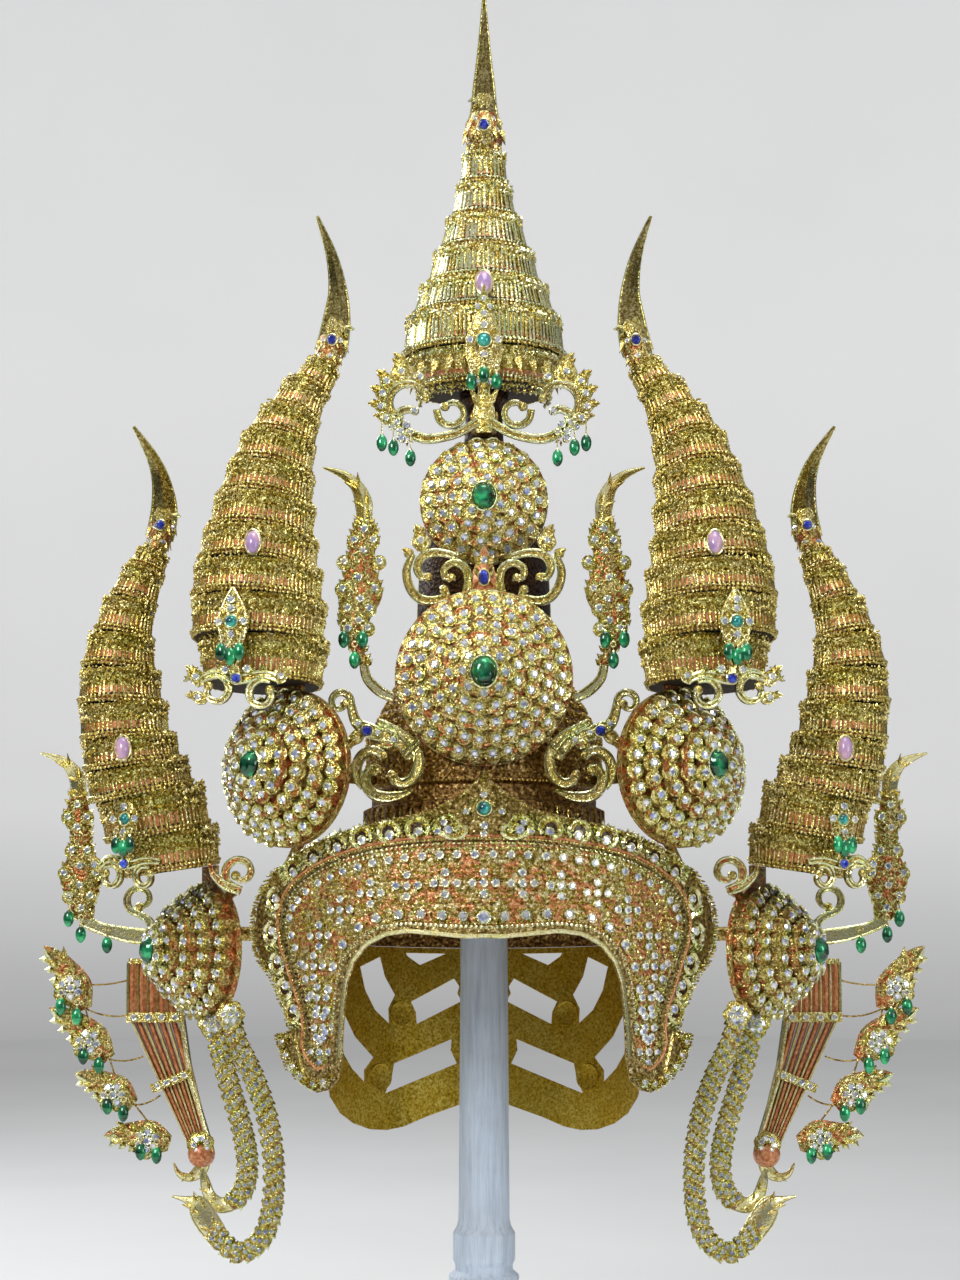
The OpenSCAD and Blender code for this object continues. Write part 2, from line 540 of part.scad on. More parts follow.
// Fan of tapering ribs under a ribbed cap
cap_x = 179.7;
rib_y = 16.7;
module ribbed_pendant(side) {
    color(gold) on_side(side) {
        for (i = [0 : 2]) translate([cap_x + 8.3 * i, rib_y, 278]) cylinder(h = 31, r = 5.5, $fn = 32);
        translate([cap_x - 10, rib_y - 6.5, 273]) cube([32.5, 13, 6]);
        for (i = [0 : 3]) rod([cap_x - 6.5 + 8 * i, rib_y, 274.5], [156 + 3.1 * i, rib_y, 205], 4.8, 2.4);
        upright(rib_y - 1.5, 3) polygon([[cap_x - 8, 275], [cap_x + 20, 275], [166, 205], [154, 205]]);
        translate([176.5, rib_y, 240]) rotate([0, 22, 0]) cube([24, 12, 5], center = true);
        translate([159.5, rib_y, 199]) sphere(8, $fn = 32);
        upright(rib_y - 2.5, 5) polygon(stroke([[158, 196, 8], [160, 190, 8], [166, 186, 5], [172, 188, 3], [175, 194, 0.8]]));
    }
}
// Plaited strands, closed by a polished plate with a hook
module strand_front(side) {
    color(gold) on_side(side) {
        sweep([[140, -33, 277.1, 4], [137, -32, 262, 4.2], [128, -30, 243, 4.2], [120, -28, 220, 4.2],
            [116, -27, 194, 4.2], [117, -26, 168, 4.2], [123, -25, 152, 4.2], [134, -25, 145, 4.2],
            [143, -25, 150, 4.2], [150, -25, 159, 3.8]], 8, 2, 1.5);
        upright(-27, 4) polygon(stroke([[146, 153, 12], [153, 163, 14], [158, 171, 12], [164, 174, 4], [172, 176, 1]]));
    }
}
module strand_back(side) {
    color(gold) on_side(side) {
        sweep([[151, -20, 272.6, 4], [147, -20, 258, 4.2], [141, -19, 236, 4.2], [134, -18, 212, 4.2],
            [131, -17, 192, 4.2], [134, -16, 178, 4.2], [141, -16, 171, 3.8]], 8, 2, 1.5);
        upright(-18, 4) polygon(stroke([[138, 173, 9], [146, 171, 9], [152, 176, 7], [155, 185, 5], [156, 191, 1]]));
    }
}
// A row is the foot and the tip of one flame leaf
flames = [[[226, 280], [250, 316]], [[212, 252], [246, 281]], [[198, 226], [231, 244]], [[177, 205], [214, 209]]];
flame_y = 10;
module flame_chain(side) {
    color(leaf_gold) on_side(side) {
        for (f = flames) upright(flame_y, 5) leaf(f[0], f[1], 20, 0.08);
        pegs(flame_drops, flame_y);
        for (i = [0 : 2]) rod([flames[i][0][0], flame_y + 2.5, flames[i][0][1] + 2],
            [flames[i + 1][0][0] + 6, flame_y + 2.5, flames[i + 1][0][1] + 4], 0.7, 0.7);
        rod([234, flame_y + 2.5, 296], [cap_x + 22.5, rib_y, 297], 0.7, 0.7);
        rod([227, flame_y + 2.5, 281.5], [cap_x + 22.9, rib_y, 277], 0.7, 0.7);
        rod([214, flame_y + 2.5, 253], [193, rib_y, 254], 0.7, 0.7);
        rod([200, flame_y + 2.5, 227], [183, rib_y, 232], 0.7, 0.7);
    }
}

// Stones
module big_stone(size) {
    gem(size[0], size[1], 5.5, 16);
}
module upper_stone() {
    color(green) on_crown() facing(up_z, up_y) translate([0, 0, dome_h(up_tiers) + gap]) big_stone(up_gem);
}
module lower_stone() {
    color(green) on_crown() facing(low_z, low_y) translate([0, 0, dome_h(low_tiers) + gap]) big_stone(low_gem);
}
module mid_stone(side) {
    color(green) on_side(side) at_unit(mid_face_at, mid_face_yaw) facing(mid_face_at[2], 0)
        translate([0, 0, dome_h(mid_tiers) + gap]) big_stone(mid_gem);
}
module outer_stone(side) {
    color(green) on_side(side) at_unit(out_at, out_yaw) facing(out_at[2], 0)
        translate([0, 0, dome_h(out_tiers) + gap]) big_stone(out_gem);
}
module centre_clear_stones() {
    color("white") on_crown() {
        facing(low_z, low_y) dome_stones(low_tiers, 20);
        facing(up_z, up_y) dome_stones(up_tiers, 16);
    }
}
module side_clear_stones(side) {
    color("white") on_side(side) {
        at_unit(mid_face_at, mid_face_yaw) facing(mid_face_at[2], 0) dome_stones(mid_tiers, 16);
        at_unit(out_at, out_yaw) facing(out_at[2], 0) dome_stones(out_tiers, 14);
    }
}
// Middles of the cross clusters on the brow band, right half, as x and z
clusters = [[0, 343], [20.5, 343], [41, 342], [60.5, 338.5], [77, 330], [88.5, 316.5], [91.5, 300], [89.5, 283],
    [86, 267], [88, 253.8]];
// A thing on the face of the band, at x and z, its seat turned to the face
module on_band(x, z) {
    a = asin(x / (band_r - 3 + band_t));
    translate([0, band_r - 107, z]) rotate([0, 0, a]) translate([0, -(band_r - 3 + band_t + gap), 0])
        rotate([90, 0, 0]) children();
}
module brow_clear_stones() {
    color("white") on_crown() for (side = [-1, 1]) for (i = [side < 0 ? 1 : 0 : len(clusters) - 1])
        for (t = [0 : 90 : 270]) on_band(side * clusters[i][0], clusters[i][1])
            translate([3.6 * cos(t), 3.6 * sin(t), 0]) chip(4.2);
}
// A stone on the front of a side spire or horn at height z, turned sideways and tilted up by degrees
module on_spire(place, yaw, rows, z, turn, tilt, off) {
    o = lookup(z, [for (q = rows) [q[1], q[0]]]);
    r = lookup(z, [for (q = rows) [q[1], q[2]]]);
    translate([place[0] + o * sin(yaw), place[1] - o * cos(yaw), z]) rotate([0, 0, turn])
        translate([0, -r - off, 0]) rotate([90 - tilt, 0, 0]) children();
}
module both_sides() {
    for (side = [-1, 1]) if (side > 0) children(); else mirror([1, 0, 0]) children();
}
// The opal on the centre spire lies on the slope of its tiers
module opals() {
    color("pink") on_crown() {
        facing(688, -40.4) rotate([-18.8, 0, 0]) gem(9, 15, 4, 12);
        both_sides() {
            on_spire(mid_at, mid_yaw, mid_rows, 526, 2, 11, 2.4) gem(8, 13, 4, 12);
            on_spire(out_at, out_yaw, out_rows, 420, 2, 6, 0.4) gem(8, 13, 4, 12);
        }
    }
}
module blue_stones() {
    color("blue") on_crown() {
        facing(788, -12.9) gem(5, 6, 2.6, 8);
        facing(515, -66 - gap) gem(5, 8, 3, 8);
        both_sides() {
            spire_front(mid_front) facing(451, -mid_front[2] - scroll_t - gap) translate([2, 0, 0]) gem(5, 5, 2.6, 8);
            spire_front(out_front) facing(356.5, -out_front[2] - scroll_t - gap) translate([2, 0, 0]) gem(5, 5, 2.6, 8);
            facing(429, -72 - gap) translate([64, 0, 0]) gem(5.4, 5.4, 2.6, 8);
            on_spire(mid_at, mid_yaw, mid_horn, 652, 0, 0, gap) gem(4.6, 5.4, 2.6, 8);
            on_spire(out_at, out_yaw, out_horn, 549, 0, 0, gap) gem(4.4, 5, 2.6, 8);
        }
    }
}
module teal_stones() {
    color("teal") on_crown() {
        on_band_peak() gem(7, 7, 3, 12);
        facing(652, scrolls_y - gap) gem(7.4, 7.4, 3, 12);
        both_sides() {
            spire_front(mid_front) facing(482, -mid_front[2] - scroll_t - gap) translate([5, 0, 0]) gem(6.4, 6.4, 3, 12);
            spire_front(out_front) facing(381, -out_front[2] - scroll_t - gap) translate([2, 0, 0]) gem(6, 6, 3, 12);
        }
    }
}
module on_band_peak() {
    translate([0, -107 - band_t + 3 - crest_h - gap, 383]) rotate([90, 0, 0]) children();
}
module centre_drops() {
    color(green) on_crown() {
        for (s = [-1, 1]) for (q = scroll_drops) translate([s * q[0], scrolls_y - 2, q[1]]) drop(q[2]);
        for (q = leaf_drops) translate([q[0], scrolls_y - 2, q[1]]) drop(q[2]);
    }
}
module side_drops(side) {
    color(green) on_side(side) {
        spire_front(mid_front) for (q = mid_drops) translate([q[0], -mid_front[2] - 6, q[1]]) drop(q[2], 11);
        spire_front(out_front) for (q = out_drops) translate([q[0], -out_front[2] - 6, q[1]]) drop(q[2], 11);
        for (q = horn_drops) translate([q[0], -74, q[1]]) drop(q[2]);
        for (q = tail_drops) translate([q[0], 14, q[1]]) drop(q[2]);
        for (q = flame_drops) translate([q[0], flame_y - 2, q[1]]) drop(q[2], 11);
    }
}

stand();
crown_body();
brow_band();
neck_guard();
centre_spire();
centre_finial();
upper_scrolls();
middle_scrolls();
upper_rosette();
lower_rosette();
mid_rosette(-1);  // mid_rosette_l
mid_rosette(1);  // mid_rosette_r
mid_spire(-1);  // mid_spire_l
mid_spire(1);  // mid_spire_r
mid_finial(-1);  // mid_finial_l
mid_finial(1);  // mid_finial_r
mid_scrolls(-1);  // mid_scrolls_l
mid_scrolls(1);  // mid_scrolls_r
outer_rosette(-1);  // outer_rosette_l
outer_rosette(1);  // outer_rosette_r
outer_spire(-1);  // outer_spire_l
outer_spire(1);  // outer_spire_r
outer_finial(-1);  // outer_finial_l
outer_finial(1);  // outer_finial_r
outer_scrolls(-1);  // outer_scrolls_l
outer_scrolls(1);  // outer_scrolls_r
link_scroll(-1);  // link_scroll_l
link_scroll(1);  // link_scroll_r
side_arm(-1);  // side_arm_l
side_arm(1);  // side_arm_r
inner_horn(-1);  // inner_horn_l
inner_horn(1);  // inner_horn_r
outer_horn(-1);  // outer_horn_l
outer_horn(1);  // outer_horn_r
ribbed_pendant(-1);  // ribbed_pendant_l
ribbed_pendant(1);  // ribbed_pendant_r
strand_front(-1);  // strand_front_l
strand_front(1);  // strand_front_r
strand_back(-1);  // strand_back_l
strand_back(1);  // strand_back_r
flame_chain(-1);  // flame_chain_l
flame_chain(1);  // flame_chain_r
upper_stone();
lower_stone();
mid_stone(-1);  // mid_stone_l
mid_stone(1);  // mid_stone_r
outer_stone(-1);  // outer_stone_l
outer_stone(1);  // outer_stone_r
centre_clear_stones();
side_clear_stones(-1);  // side_clear_stones_l
side_clear_stones(1);  // side_clear_stones_r
brow_clear_stones();
opals();
blue_stones();
teal_stones();
centre_drops();
side_drops(-1);  // side_drops_l
side_drops(1);  // side_drops_r
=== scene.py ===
import math
import random

import bmesh
import bpy
from mathutils import Matrix, Vector


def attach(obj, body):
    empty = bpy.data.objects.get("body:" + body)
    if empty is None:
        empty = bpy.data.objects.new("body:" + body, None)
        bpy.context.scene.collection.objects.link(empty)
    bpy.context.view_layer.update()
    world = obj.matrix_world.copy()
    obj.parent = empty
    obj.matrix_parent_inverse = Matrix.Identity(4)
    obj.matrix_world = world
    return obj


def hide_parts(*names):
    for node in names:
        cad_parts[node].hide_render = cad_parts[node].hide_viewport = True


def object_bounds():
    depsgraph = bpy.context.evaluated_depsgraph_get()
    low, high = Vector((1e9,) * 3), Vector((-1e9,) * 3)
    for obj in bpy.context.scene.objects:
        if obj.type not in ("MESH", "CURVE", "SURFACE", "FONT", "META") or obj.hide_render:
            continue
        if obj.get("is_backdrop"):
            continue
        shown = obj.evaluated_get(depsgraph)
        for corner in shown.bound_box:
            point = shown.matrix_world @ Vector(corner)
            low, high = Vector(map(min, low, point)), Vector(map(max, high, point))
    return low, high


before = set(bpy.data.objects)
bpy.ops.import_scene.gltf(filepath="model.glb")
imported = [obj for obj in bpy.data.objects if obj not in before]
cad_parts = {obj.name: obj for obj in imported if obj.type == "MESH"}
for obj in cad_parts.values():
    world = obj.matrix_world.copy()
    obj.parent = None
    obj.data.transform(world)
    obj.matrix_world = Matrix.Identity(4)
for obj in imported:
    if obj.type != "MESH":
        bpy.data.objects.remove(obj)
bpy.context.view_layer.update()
print("frame loaded:", len(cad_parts), "solids")

# The crown is drawn upright in millimetres, then leans back on the ball of the stand
crownSit = {"lean": 7, "pivot": 500}
toWorld = (Matrix.Scale(0.001, 4) @ Matrix.Translation((0, 0, crownSit["pivot"]))
           @ Matrix.Rotation(math.radians(-crownSit["lean"]), 4, "X")
           @ Matrix.Translation((0, 0, -crownSit["pivot"])))
mirrorX = Matrix.Scale(-1, 4, (1, 0, 0))
dice = random.Random(7)


def move(x, y, z):
    return Matrix.Translation((x, y, z))


def turn(degrees, axis):
    return Matrix.Rotation(math.radians(degrees), 4, axis)


def grow(x, y, z):
    return Matrix.Diagonal((x, y, z, 1))


def facing(x, y, z, aim=0.0, side=1):
    # a place that looks to the front, or to the back with side -1, turned by aim degrees
    return move(x, y, z) @ turn(90 * side, "X") @ turn(aim, "Z")


def onWall(around, out, z, tilt=0.0):
    # a place on a round wall: +Y up it and +Z out of it, laid back by tilt degrees
    return turn(around, "Z") @ move(out, 0, z) @ turn(90, "Z") @ turn(90 - tilt, "X")


# finishes
finishes = {}


def startFinish(name):
    material = bpy.data.materials.new(name)
    material.use_nodes = True
    tree = material.node_tree
    finishes[name] = material
    return tree, tree.nodes["Principled BSDF"], tree.nodes.new("ShaderNodeTexCoord").outputs["Object"]


def noiseOn(tree, where, scale, detail=3.0, roughness=0.6):
    node = tree.nodes.new("ShaderNodeTexNoise")
    node.inputs["Scale"].default_value = scale
    node.inputs["Detail"].default_value = detail
    node.inputs["Roughness"].default_value = roughness
    tree.links.new(where, node.inputs["Vector"])
    return node.outputs["Fac"]


def cellsOn(tree, where, scale):
    node = tree.nodes.new("ShaderNodeTexVoronoi")
    node.inputs["Scale"].default_value = scale
    tree.links.new(where, node.inputs["Vector"])
    return node.outputs["Distance"]


def rampOf(tree, factor, stops):
    node = tree.nodes.new("ShaderNodeValToRGB")
    ramp = node.color_ramp
    while len(ramp.elements) < len(stops):
        ramp.elements.new(0.5)
    for element, (at, colour) in zip(ramp.elements, stops):
        element.position = at
        element.color = (*colour, 1)
    tree.links.new(factor, node.inputs["Fac"])
    return node.outputs["Color"]


def mixOf(tree, factor, first, second, kind="MIX"):
    node = tree.nodes.new("ShaderNodeMix")
    node.data_type = "RGBA"
    node.blend_type = kind
    for socket, value in ((node.inputs[0], factor), (node.inputs[6], first), (node.inputs[7], second)):
        if isinstance(value, bpy.types.NodeSocket):
            tree.links.new(value, socket)
        elif isinstance(value, tuple):
            socket.default_value = (*value, 1)
        else:
            socket.default_value = value
    return node.outputs[2]


def bumpFrom(tree, shader, heights, distance, strength):
    last = None
    for height in heights:
        node = tree.nodes.new("ShaderNodeBump")
        node.inputs["Distance"].default_value = distance
        node.inputs["Strength"].default_value = strength
        tree.links.new(height, node.inputs["Height"])
        if last:
            tree.links.new(last, node.inputs["Normal"])
        last = node.outputs["Normal"]
    tree.links.new(last, shader.inputs["Normal"])


def grey(value):
    return (value, value, value)


def gilt(tree, shader, where, colour, grain, rough, metallic, cells, deep=0.0005, crease=0.7):
    # the tone, worn shine and beaten surface that the gilt finishes share, rough from bright to dark
    tree.links.new(colour, shader.inputs["Base Color"])
    wear = rampOf(tree, grain, [(0.3, grey(rough[1])), (0.65, grey(rough[0]))])
    tree.links.new(wear, shader.inputs["Roughness"])
    shader.inputs["Metallic"].default_value = metallic
    bumpFrom(tree, shader, [grain, cellsOn(tree, where, cells)], deep, crease)


def foilGold(name, dark, body, bright, tint, rough, crease=0.6):
    # beaten leaf: a broad tint, small dark creases and a grain that glints
    tree, shader, where = startFinish(name)
    small = noiseOn(tree, where, 620, 4, 0.7)
    shade = rampOf(tree, small, [(0.30, dark), (0.46, body), (0.62, bright)])
    warm = rampOf(tree, noiseOn(tree, where, 70, 2), [(0.35, tint), (0.65, grey(1.0))])
    colour = mixOf(tree, 1.0, shade, warm, "MULTIPLY")
    gilt(tree, shader, where, colour, small, rough, 1.0, 900, 0.0004, crease)


def lacquer(name, deep, body, light, scale, roughness):
    tree, shader, where = startFinish(name)
    patch = noiseOn(tree, where, scale, 4, 0.65)
    tree.links.new(rampOf(tree, patch, [(0.28, deep), (0.5, body), (0.72, light)]),
                   shader.inputs["Base Color"])
    tree.links.new(rampOf(tree, patch, [(0.3, grey(roughness + 0.15)), (0.7, grey(roughness))]),
                   shader.inputs["Roughness"])
    shader.inputs["Metallic"].default_value = 0.35
    shader.inputs["Coat Weight"].default_value = 0.4
    shader.inputs["Coat Roughness"].default_value = 0.2
    bumpFrom(tree, shader, [noiseOn(tree, where, 900, 3)], 0.0003, 0.5)


def jewel(name, deep, body, flash, metallic, roughness=0.06, scale=260):
    # foil behind the stone gives its flash
    tree, shader, where = startFinish(name)
    veil = noiseOn(tree, where, scale, 2, 0.5)
    colour = rampOf(tree, veil, [(0.32, deep), (0.5, body), (0.68, flash)])
    tree.links.new(colour, shader.inputs["Base Color"])
    tree.links.new(rampOf(tree, veil, [(0.2, grey(roughness)), (0.9, grey(roughness + 0.08))]),
                   shader.inputs["Roughness"])
    shader.inputs["Metallic"].default_value = metallic
    shader.inputs["Coat Weight"].default_value = 1.0
    shader.inputs["Coat Roughness"].default_value = 0.03
    bumpFrom(tree, shader, [noiseOn(tree, where, 500, 1)], 0.0001, 0.15)


# dark, body and bright tone, tint, roughness from bright to dark and depth of the creases
goldTones = {
    "leafGold": ((0.045, 0.028, 0.003), (0.55, 0.39, 0.085), (0.97, 0.92, 0.52),
                 (0.95, 0.97, 0.74), (0.14, 0.42)),
    "rimGold": ((0.26, 0.19, 0.04), (0.80, 0.74, 0.38), (0.97, 1.0, 0.80),
                (0.92, 1.0, 0.88), (0.10, 0.28), 0.3),
    "oliveGold": ((0.022, 0.014, 0.002), (0.26, 0.185, 0.03), (0.85, 0.78, 0.36),
                  (0.88, 0.96, 0.68), (0.2, 0.5), 0.9),
    "deepGold": ((0.04, 0.02, 0.004), (0.34, 0.22, 0.05), (0.82, 0.64, 0.24),
                 (0.90, 0.86, 0.62), (0.22, 0.5)),
    "hornGold": ((0.08, 0.045, 0.010), (0.30, 0.21, 0.06), (0.78, 0.68, 0.34),
                 (0.85, 0.86, 0.66), (0.12, 0.34), 0.3),
    "polishedGold": ((0.34, 0.23, 0.06), (0.86, 0.74, 0.34), (1.0, 0.97, 0.68),
                     (0.92, 0.98, 0.84), (0.16, 0.34), 0.16),
    "guardGold": ((0.20, 0.12, 0.008), (0.52, 0.36, 0.035), (0.80, 0.64, 0.15),
                  (0.92, 0.84, 0.52), (0.34, 0.55), 0.35),
}
for name, tones in goldTones.items():
    foilGold(name, *tones)
lacquer("salmon", (0.26, 0.05, 0.012), (0.62, 0.22, 0.085), (0.86, 0.50, 0.22), 520, 0.3)
# a near-black finish, painted shade for the hollows of the crest cells
lacquer("hollowShade", (0.012, 0.006, 0.005), (0.05, 0.022, 0.012), (0.16, 0.075, 0.025), 120, 0.22)
jewel("clearStone", (0.40, 0.44, 0.80), (0.88, 0.92, 1.0), (1.0, 0.92, 1.0), 0.7, 0.04)
jewel("greenStone", (0.0, 0.022, 0.010), (0.002, 0.15, 0.055), (0.03, 0.55, 0.20), 0.4, 0.05, 150)
jewel("greenGlass", (0.0, 0.03, 0.014), (0.002, 0.20, 0.07), (0.04, 0.60, 0.22), 0.3, 0.05, 130)
jewel("blueStone", (0.004, 0.008, 0.16), (0.012, 0.03, 0.50), (0.10, 0.18, 0.9), 0.4)
jewel("tealStone", (0.0, 0.06, 0.07), (0.005, 0.28, 0.26), (0.08, 0.62, 0.50), 0.35, 0.06, 150)
jewel("opal", (0.40, 0.26, 0.52), (0.62, 0.38, 0.55), (0.78, 0.50, 0.52), 0.0, 0.2, 110)
tree, shader, where = startFinish("foliageGround")
fine = noiseOn(tree, where, 640, 4, 0.7)
leafShade = rampOf(tree, fine, [(0.34, (0.03, 0.018, 0.002)), (0.48, (0.34, 0.24, 0.05)),
                                (0.62, (0.90, 0.80, 0.38))])
crevice = rampOf(tree, fine, [(0.34, (0.09, 0.018, 0.004)), (0.5, (0.48, 0.15, 0.05)),
                              (0.66, (0.86, 0.46, 0.18))])
patches = rampOf(tree, noiseOn(tree, where, 150, 3), [(0.47, grey(0.0)), (0.56, grey(1.0))])
gilt(tree, shader, where, mixOf(tree, patches, leafShade, crevice), fine, (0.18, 0.48), 0.85, 800)
lacquer("ridgeGold", (0.34, 0.24, 0.06), (0.72, 0.58, 0.22), (0.98, 0.94, 0.62), 420, 0.22)
lacquer("strandGround", (0.14, 0.045, 0.012), (0.48, 0.22, 0.09), (0.85, 0.62, 0.26), 640, 0.3)
tree, shader, where = startFinish("innerShade")
shade = rampOf(tree, noiseOn(tree, where, 300, 3), [(0.3, (0.012, 0.007, 0.002)), (0.7, (0.05, 0.03, 0.008))])
tree.links.new(shade, shader.inputs["Base Color"])
shader.inputs["Roughness"].default_value = 0.85
stoneFinishes = ("clearStone", "greenStone", "blueStone")
print("finishes mixed:", len(finishes))


# small tools
def spline(rows, steps=3):
    # the same smooth line that the solids follow
    out = []
    for i in range(len(rows) - 1):
        a, b, c, d = (rows[max(i - 1, 0)], rows[i], rows[i + 1], rows[min(i + 2, len(rows) - 1)])
        for k in range(steps):
            t = k / steps
            out.append([0.5 * (2 * q + (r - p) * t + (2 * p - 5 * q + 4 * r - s) * t * t
                               + (3 * q - p - 3 * r + s) * t * t * t) for p, q, r, s in zip(a, b, c, d)])
    return out + [list(rows[-1])]


def lookup(at, pairs):
    for (x0, y0), (x1, y1) in zip(pairs, pairs[1:]):
        if x0 <= at <= x1:
            return y0 + (y1 - y0) * (at - x0) / (x1 - x0)
    return pairs[0][1] if at < pairs[0][0] else pairs[-1][1]


def paint(work, finish, before=()):
    # all faces but those that were there before
    index = list(finishes).index(finish)
    for face in work.faces:
        if face not in before:
            face.material_index = index


def closeMesh(name, work):
    made = bpy.data.meshes.new(name)
    work.to_mesh(made)
    work.free()
    return made


def put(piece, stamp, where):
    copy = stamps[stamp].copy()
    copy.transform(where)
    piece.from_mesh(copy)
    bpy.data.meshes.remove(copy)


def pour(piece, mesh):
    piece.from_mesh(mesh)
    bpy.data.meshes.remove(mesh)


def loft(stations, finish, segments=8, start=0.0):
    # a ring drawn out along the stations and closed at both ends
    work = bmesh.new()
    bmesh.ops.create_circle(work, cap_ends=False, segments=segments, radius=1,
                            matrix=stations[0] @ Matrix.Rotation(start, 4, "Z"))
    edges = work.edges[:]
    for before, after in zip(stations, stations[1:]):
        made = bmesh.ops.extrude_edge_only(work, edges=edges)["geom"]
        verts = [g for g in made if isinstance(g, bmesh.types.BMVert)]
        far = set(verts)
        edges = [g for g in made if isinstance(g, bmesh.types.BMEdge) and far.issuperset(g.verts)]
        bmesh.ops.transform(work, matrix=after @ before.inverted(), verts=verts)
    bmesh.ops.holes_fill(work, edges=[e for e in work.edges if e.is_boundary], sides=0)
    paint(work, finish)
    return closeMesh("loft", work)


def ringed(where, rings, finish, segments=8, start=0.0):
    # level rings up a frame's Z axis, each a height and its half width and half depth
    stations = [where @ move(0, 0, ring[0]) @ grow(ring[1], ring[-1], 1) for ring in rings]
    return loft(stations, finish, segments, start)


def rod(points, thick, finish, sides=6):
    return loft(stationsOf(points, [thick] * len(points), [thick] * len(points)), finish, sides)


def stationsOf(points, wides, deeps, up=(0, 1, 0), side=0.0, lift=0.0):
    # frames along a line; side and lift shift it across and towards up
    out = []
    up = Vector(up)
    for i, (point, wide, deep) in enumerate(zip(points, wides, deeps)):
        ahead = (points[min(i + 1, len(points) - 1)] - points[max(i - 1, 0)]).normalized()
        across = ahead.cross(up).normalized()
        rise = across.cross(ahead)
        at = point + across * (side * wide) + rise * lift
        spread = wide if side == 0 else deep
        out.append(Matrix(((across.x * spread, rise.x * deep, ahead.x, at.x),
                           (across.y * spread, rise.y * deep, ahead.y, at.y),
                           (across.z * spread, rise.z * deep, ahead.z, at.z), (0, 0, 0, 1))))
    return out


def mirrorInto(piece, half):
    # a half as drawn, and its mirror image
    for flip in (Matrix(), mirrorX):
        other = bpy.data.meshes.new("half")
        half.to_mesh(other)
        other.transform(flip)
        pour(piece, other)
    half.free()


def finishPiece(name, piece, nodes=(), mirrored=False):
    if mirrored:
        bmesh.ops.transform(piece, matrix=mirrorX, verts=piece.verts[:])
    bmesh.ops.recalc_face_normals(piece, faces=piece.faces[:])
    bmesh.ops.transform(piece, matrix=toWorld, verts=piece.verts[:])
    names = list(finishes)
    used = sorted({face.material_index for face in piece.faces})
    for face in piece.faces:
        face.smooth = names[face.material_index] not in stoneFinishes
        face.material_index = used.index(face.material_index)
    made = bpy.data.meshes.new(name)
    piece.to_mesh(made)
    piece.free()
    made.set_sharp_from_angle(angle=math.radians(36))
    for index in used:
        made.materials.append(finishes[names[index]])
    thing = bpy.data.objects.new(name, made)
    bpy.context.scene.collection.objects.link(thing)
    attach(thing, "root")
    if nodes:
        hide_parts(*nodes)
    return thing


def finishPair(name, piece, node=None):
    # the right side as drawn, the left side mirrored
    twin = piece.copy()
    finishPiece(name + "Right", piece, [node + "_r"] if node else [])
    finishPiece(name + "Left", twin, [node + "_l"] if node else [], True)


def finishPart(part, name, piece, node=None):
    # the side units come in pairs, the middle ones alone
    if part in sideUnits:
        finishPair(name, piece, node)
    else:
        finishPiece(name, piece, [node] if node else [])


# small shapes that are set many times, in millimetres, seat at z 0
def addDisc(work, radius, top, height, segments, finish, where=Matrix(), inset=0.0, sink=0.0, floor=None):
    before = set(work.faces)
    bmesh.ops.create_cone(work, cap_ends=True, cap_tris=False, segments=segments, radius1=radius, radius2=top,
                          depth=height, matrix=where @ move(0, 0, height / 2))
    if inset:
        fresh = [f for f in work.faces if f not in before]
        lid = max(fresh, key=lambda f: (where.inverted() @ f.calc_center_median()).z)
        bmesh.ops.inset_region(work, faces=[lid], thickness=inset, depth=sink, use_even_offset=True)
    paint(work, finish, before)
    if floor:
        lid.material_index = list(finishes).index(floor)


def addLeaf(work, where, half, tall, deep, finish="leafGold"):
    before = set(work.faces)
    bmesh.ops.create_cone(work, cap_ends=True, cap_tris=True, segments=4, radius1=1, radius2=0, depth=1,
                          matrix=where @ grow(half, tall, deep) @ move(0, 0, 0.5))
    paint(work, finish, before)


def addCurl(work, centre, radius, tube, start, sweep, steps, finish="leafGold"):
    before = set(work.faces)
    ring = bmesh.ops.create_circle(work, cap_ends=False, segments=4, radius=tube,
                                   matrix=move(*centre) @ turn(start, "Z") @ move(radius, 0, 0)
                                   @ turn(90, "X"))
    edges = list({e for v in ring["verts"] for e in v.link_edges})
    bmesh.ops.spin(work, geom=ring["verts"] + edges, cent=centre, axis=(0, 0, 1), dvec=(0, 0, 0),
                   angle=math.radians(sweep), steps=steps, use_merge=False)
    bmesh.ops.holes_fill(work, edges=[e for e in work.edges if e.is_boundary], sides=0)
    paint(work, finish, before)


def addBead(work, where, radius, finish="leafGold"):
    before = set(work.faces)
    bmesh.ops.create_icosphere(work, subdivisions=1, radius=radius, matrix=where)
    paint(work, finish, before)


def stampOf(add, *specs):
    # a small mesh of one kind of shape
    work = bmesh.new()
    for spec in specs:
        add(work, *spec)
    return closeMesh("stamp", work)


def layCurls(piece, where, *specs):
    curls = stampOf(addCurl, *specs)
    curls.transform(where)
    pour(piece, curls)


def clearCup(radius, stone, segments):
    return stampOf(addDisc, (radius, radius * 0.9, 1.2, segments, "rimGold", Matrix(), 0.5, -0.5, "leafGold"),
                   (stone, stone * 0.55, 1.3, 8, "clearStone", move(0, 0, 0.75)))


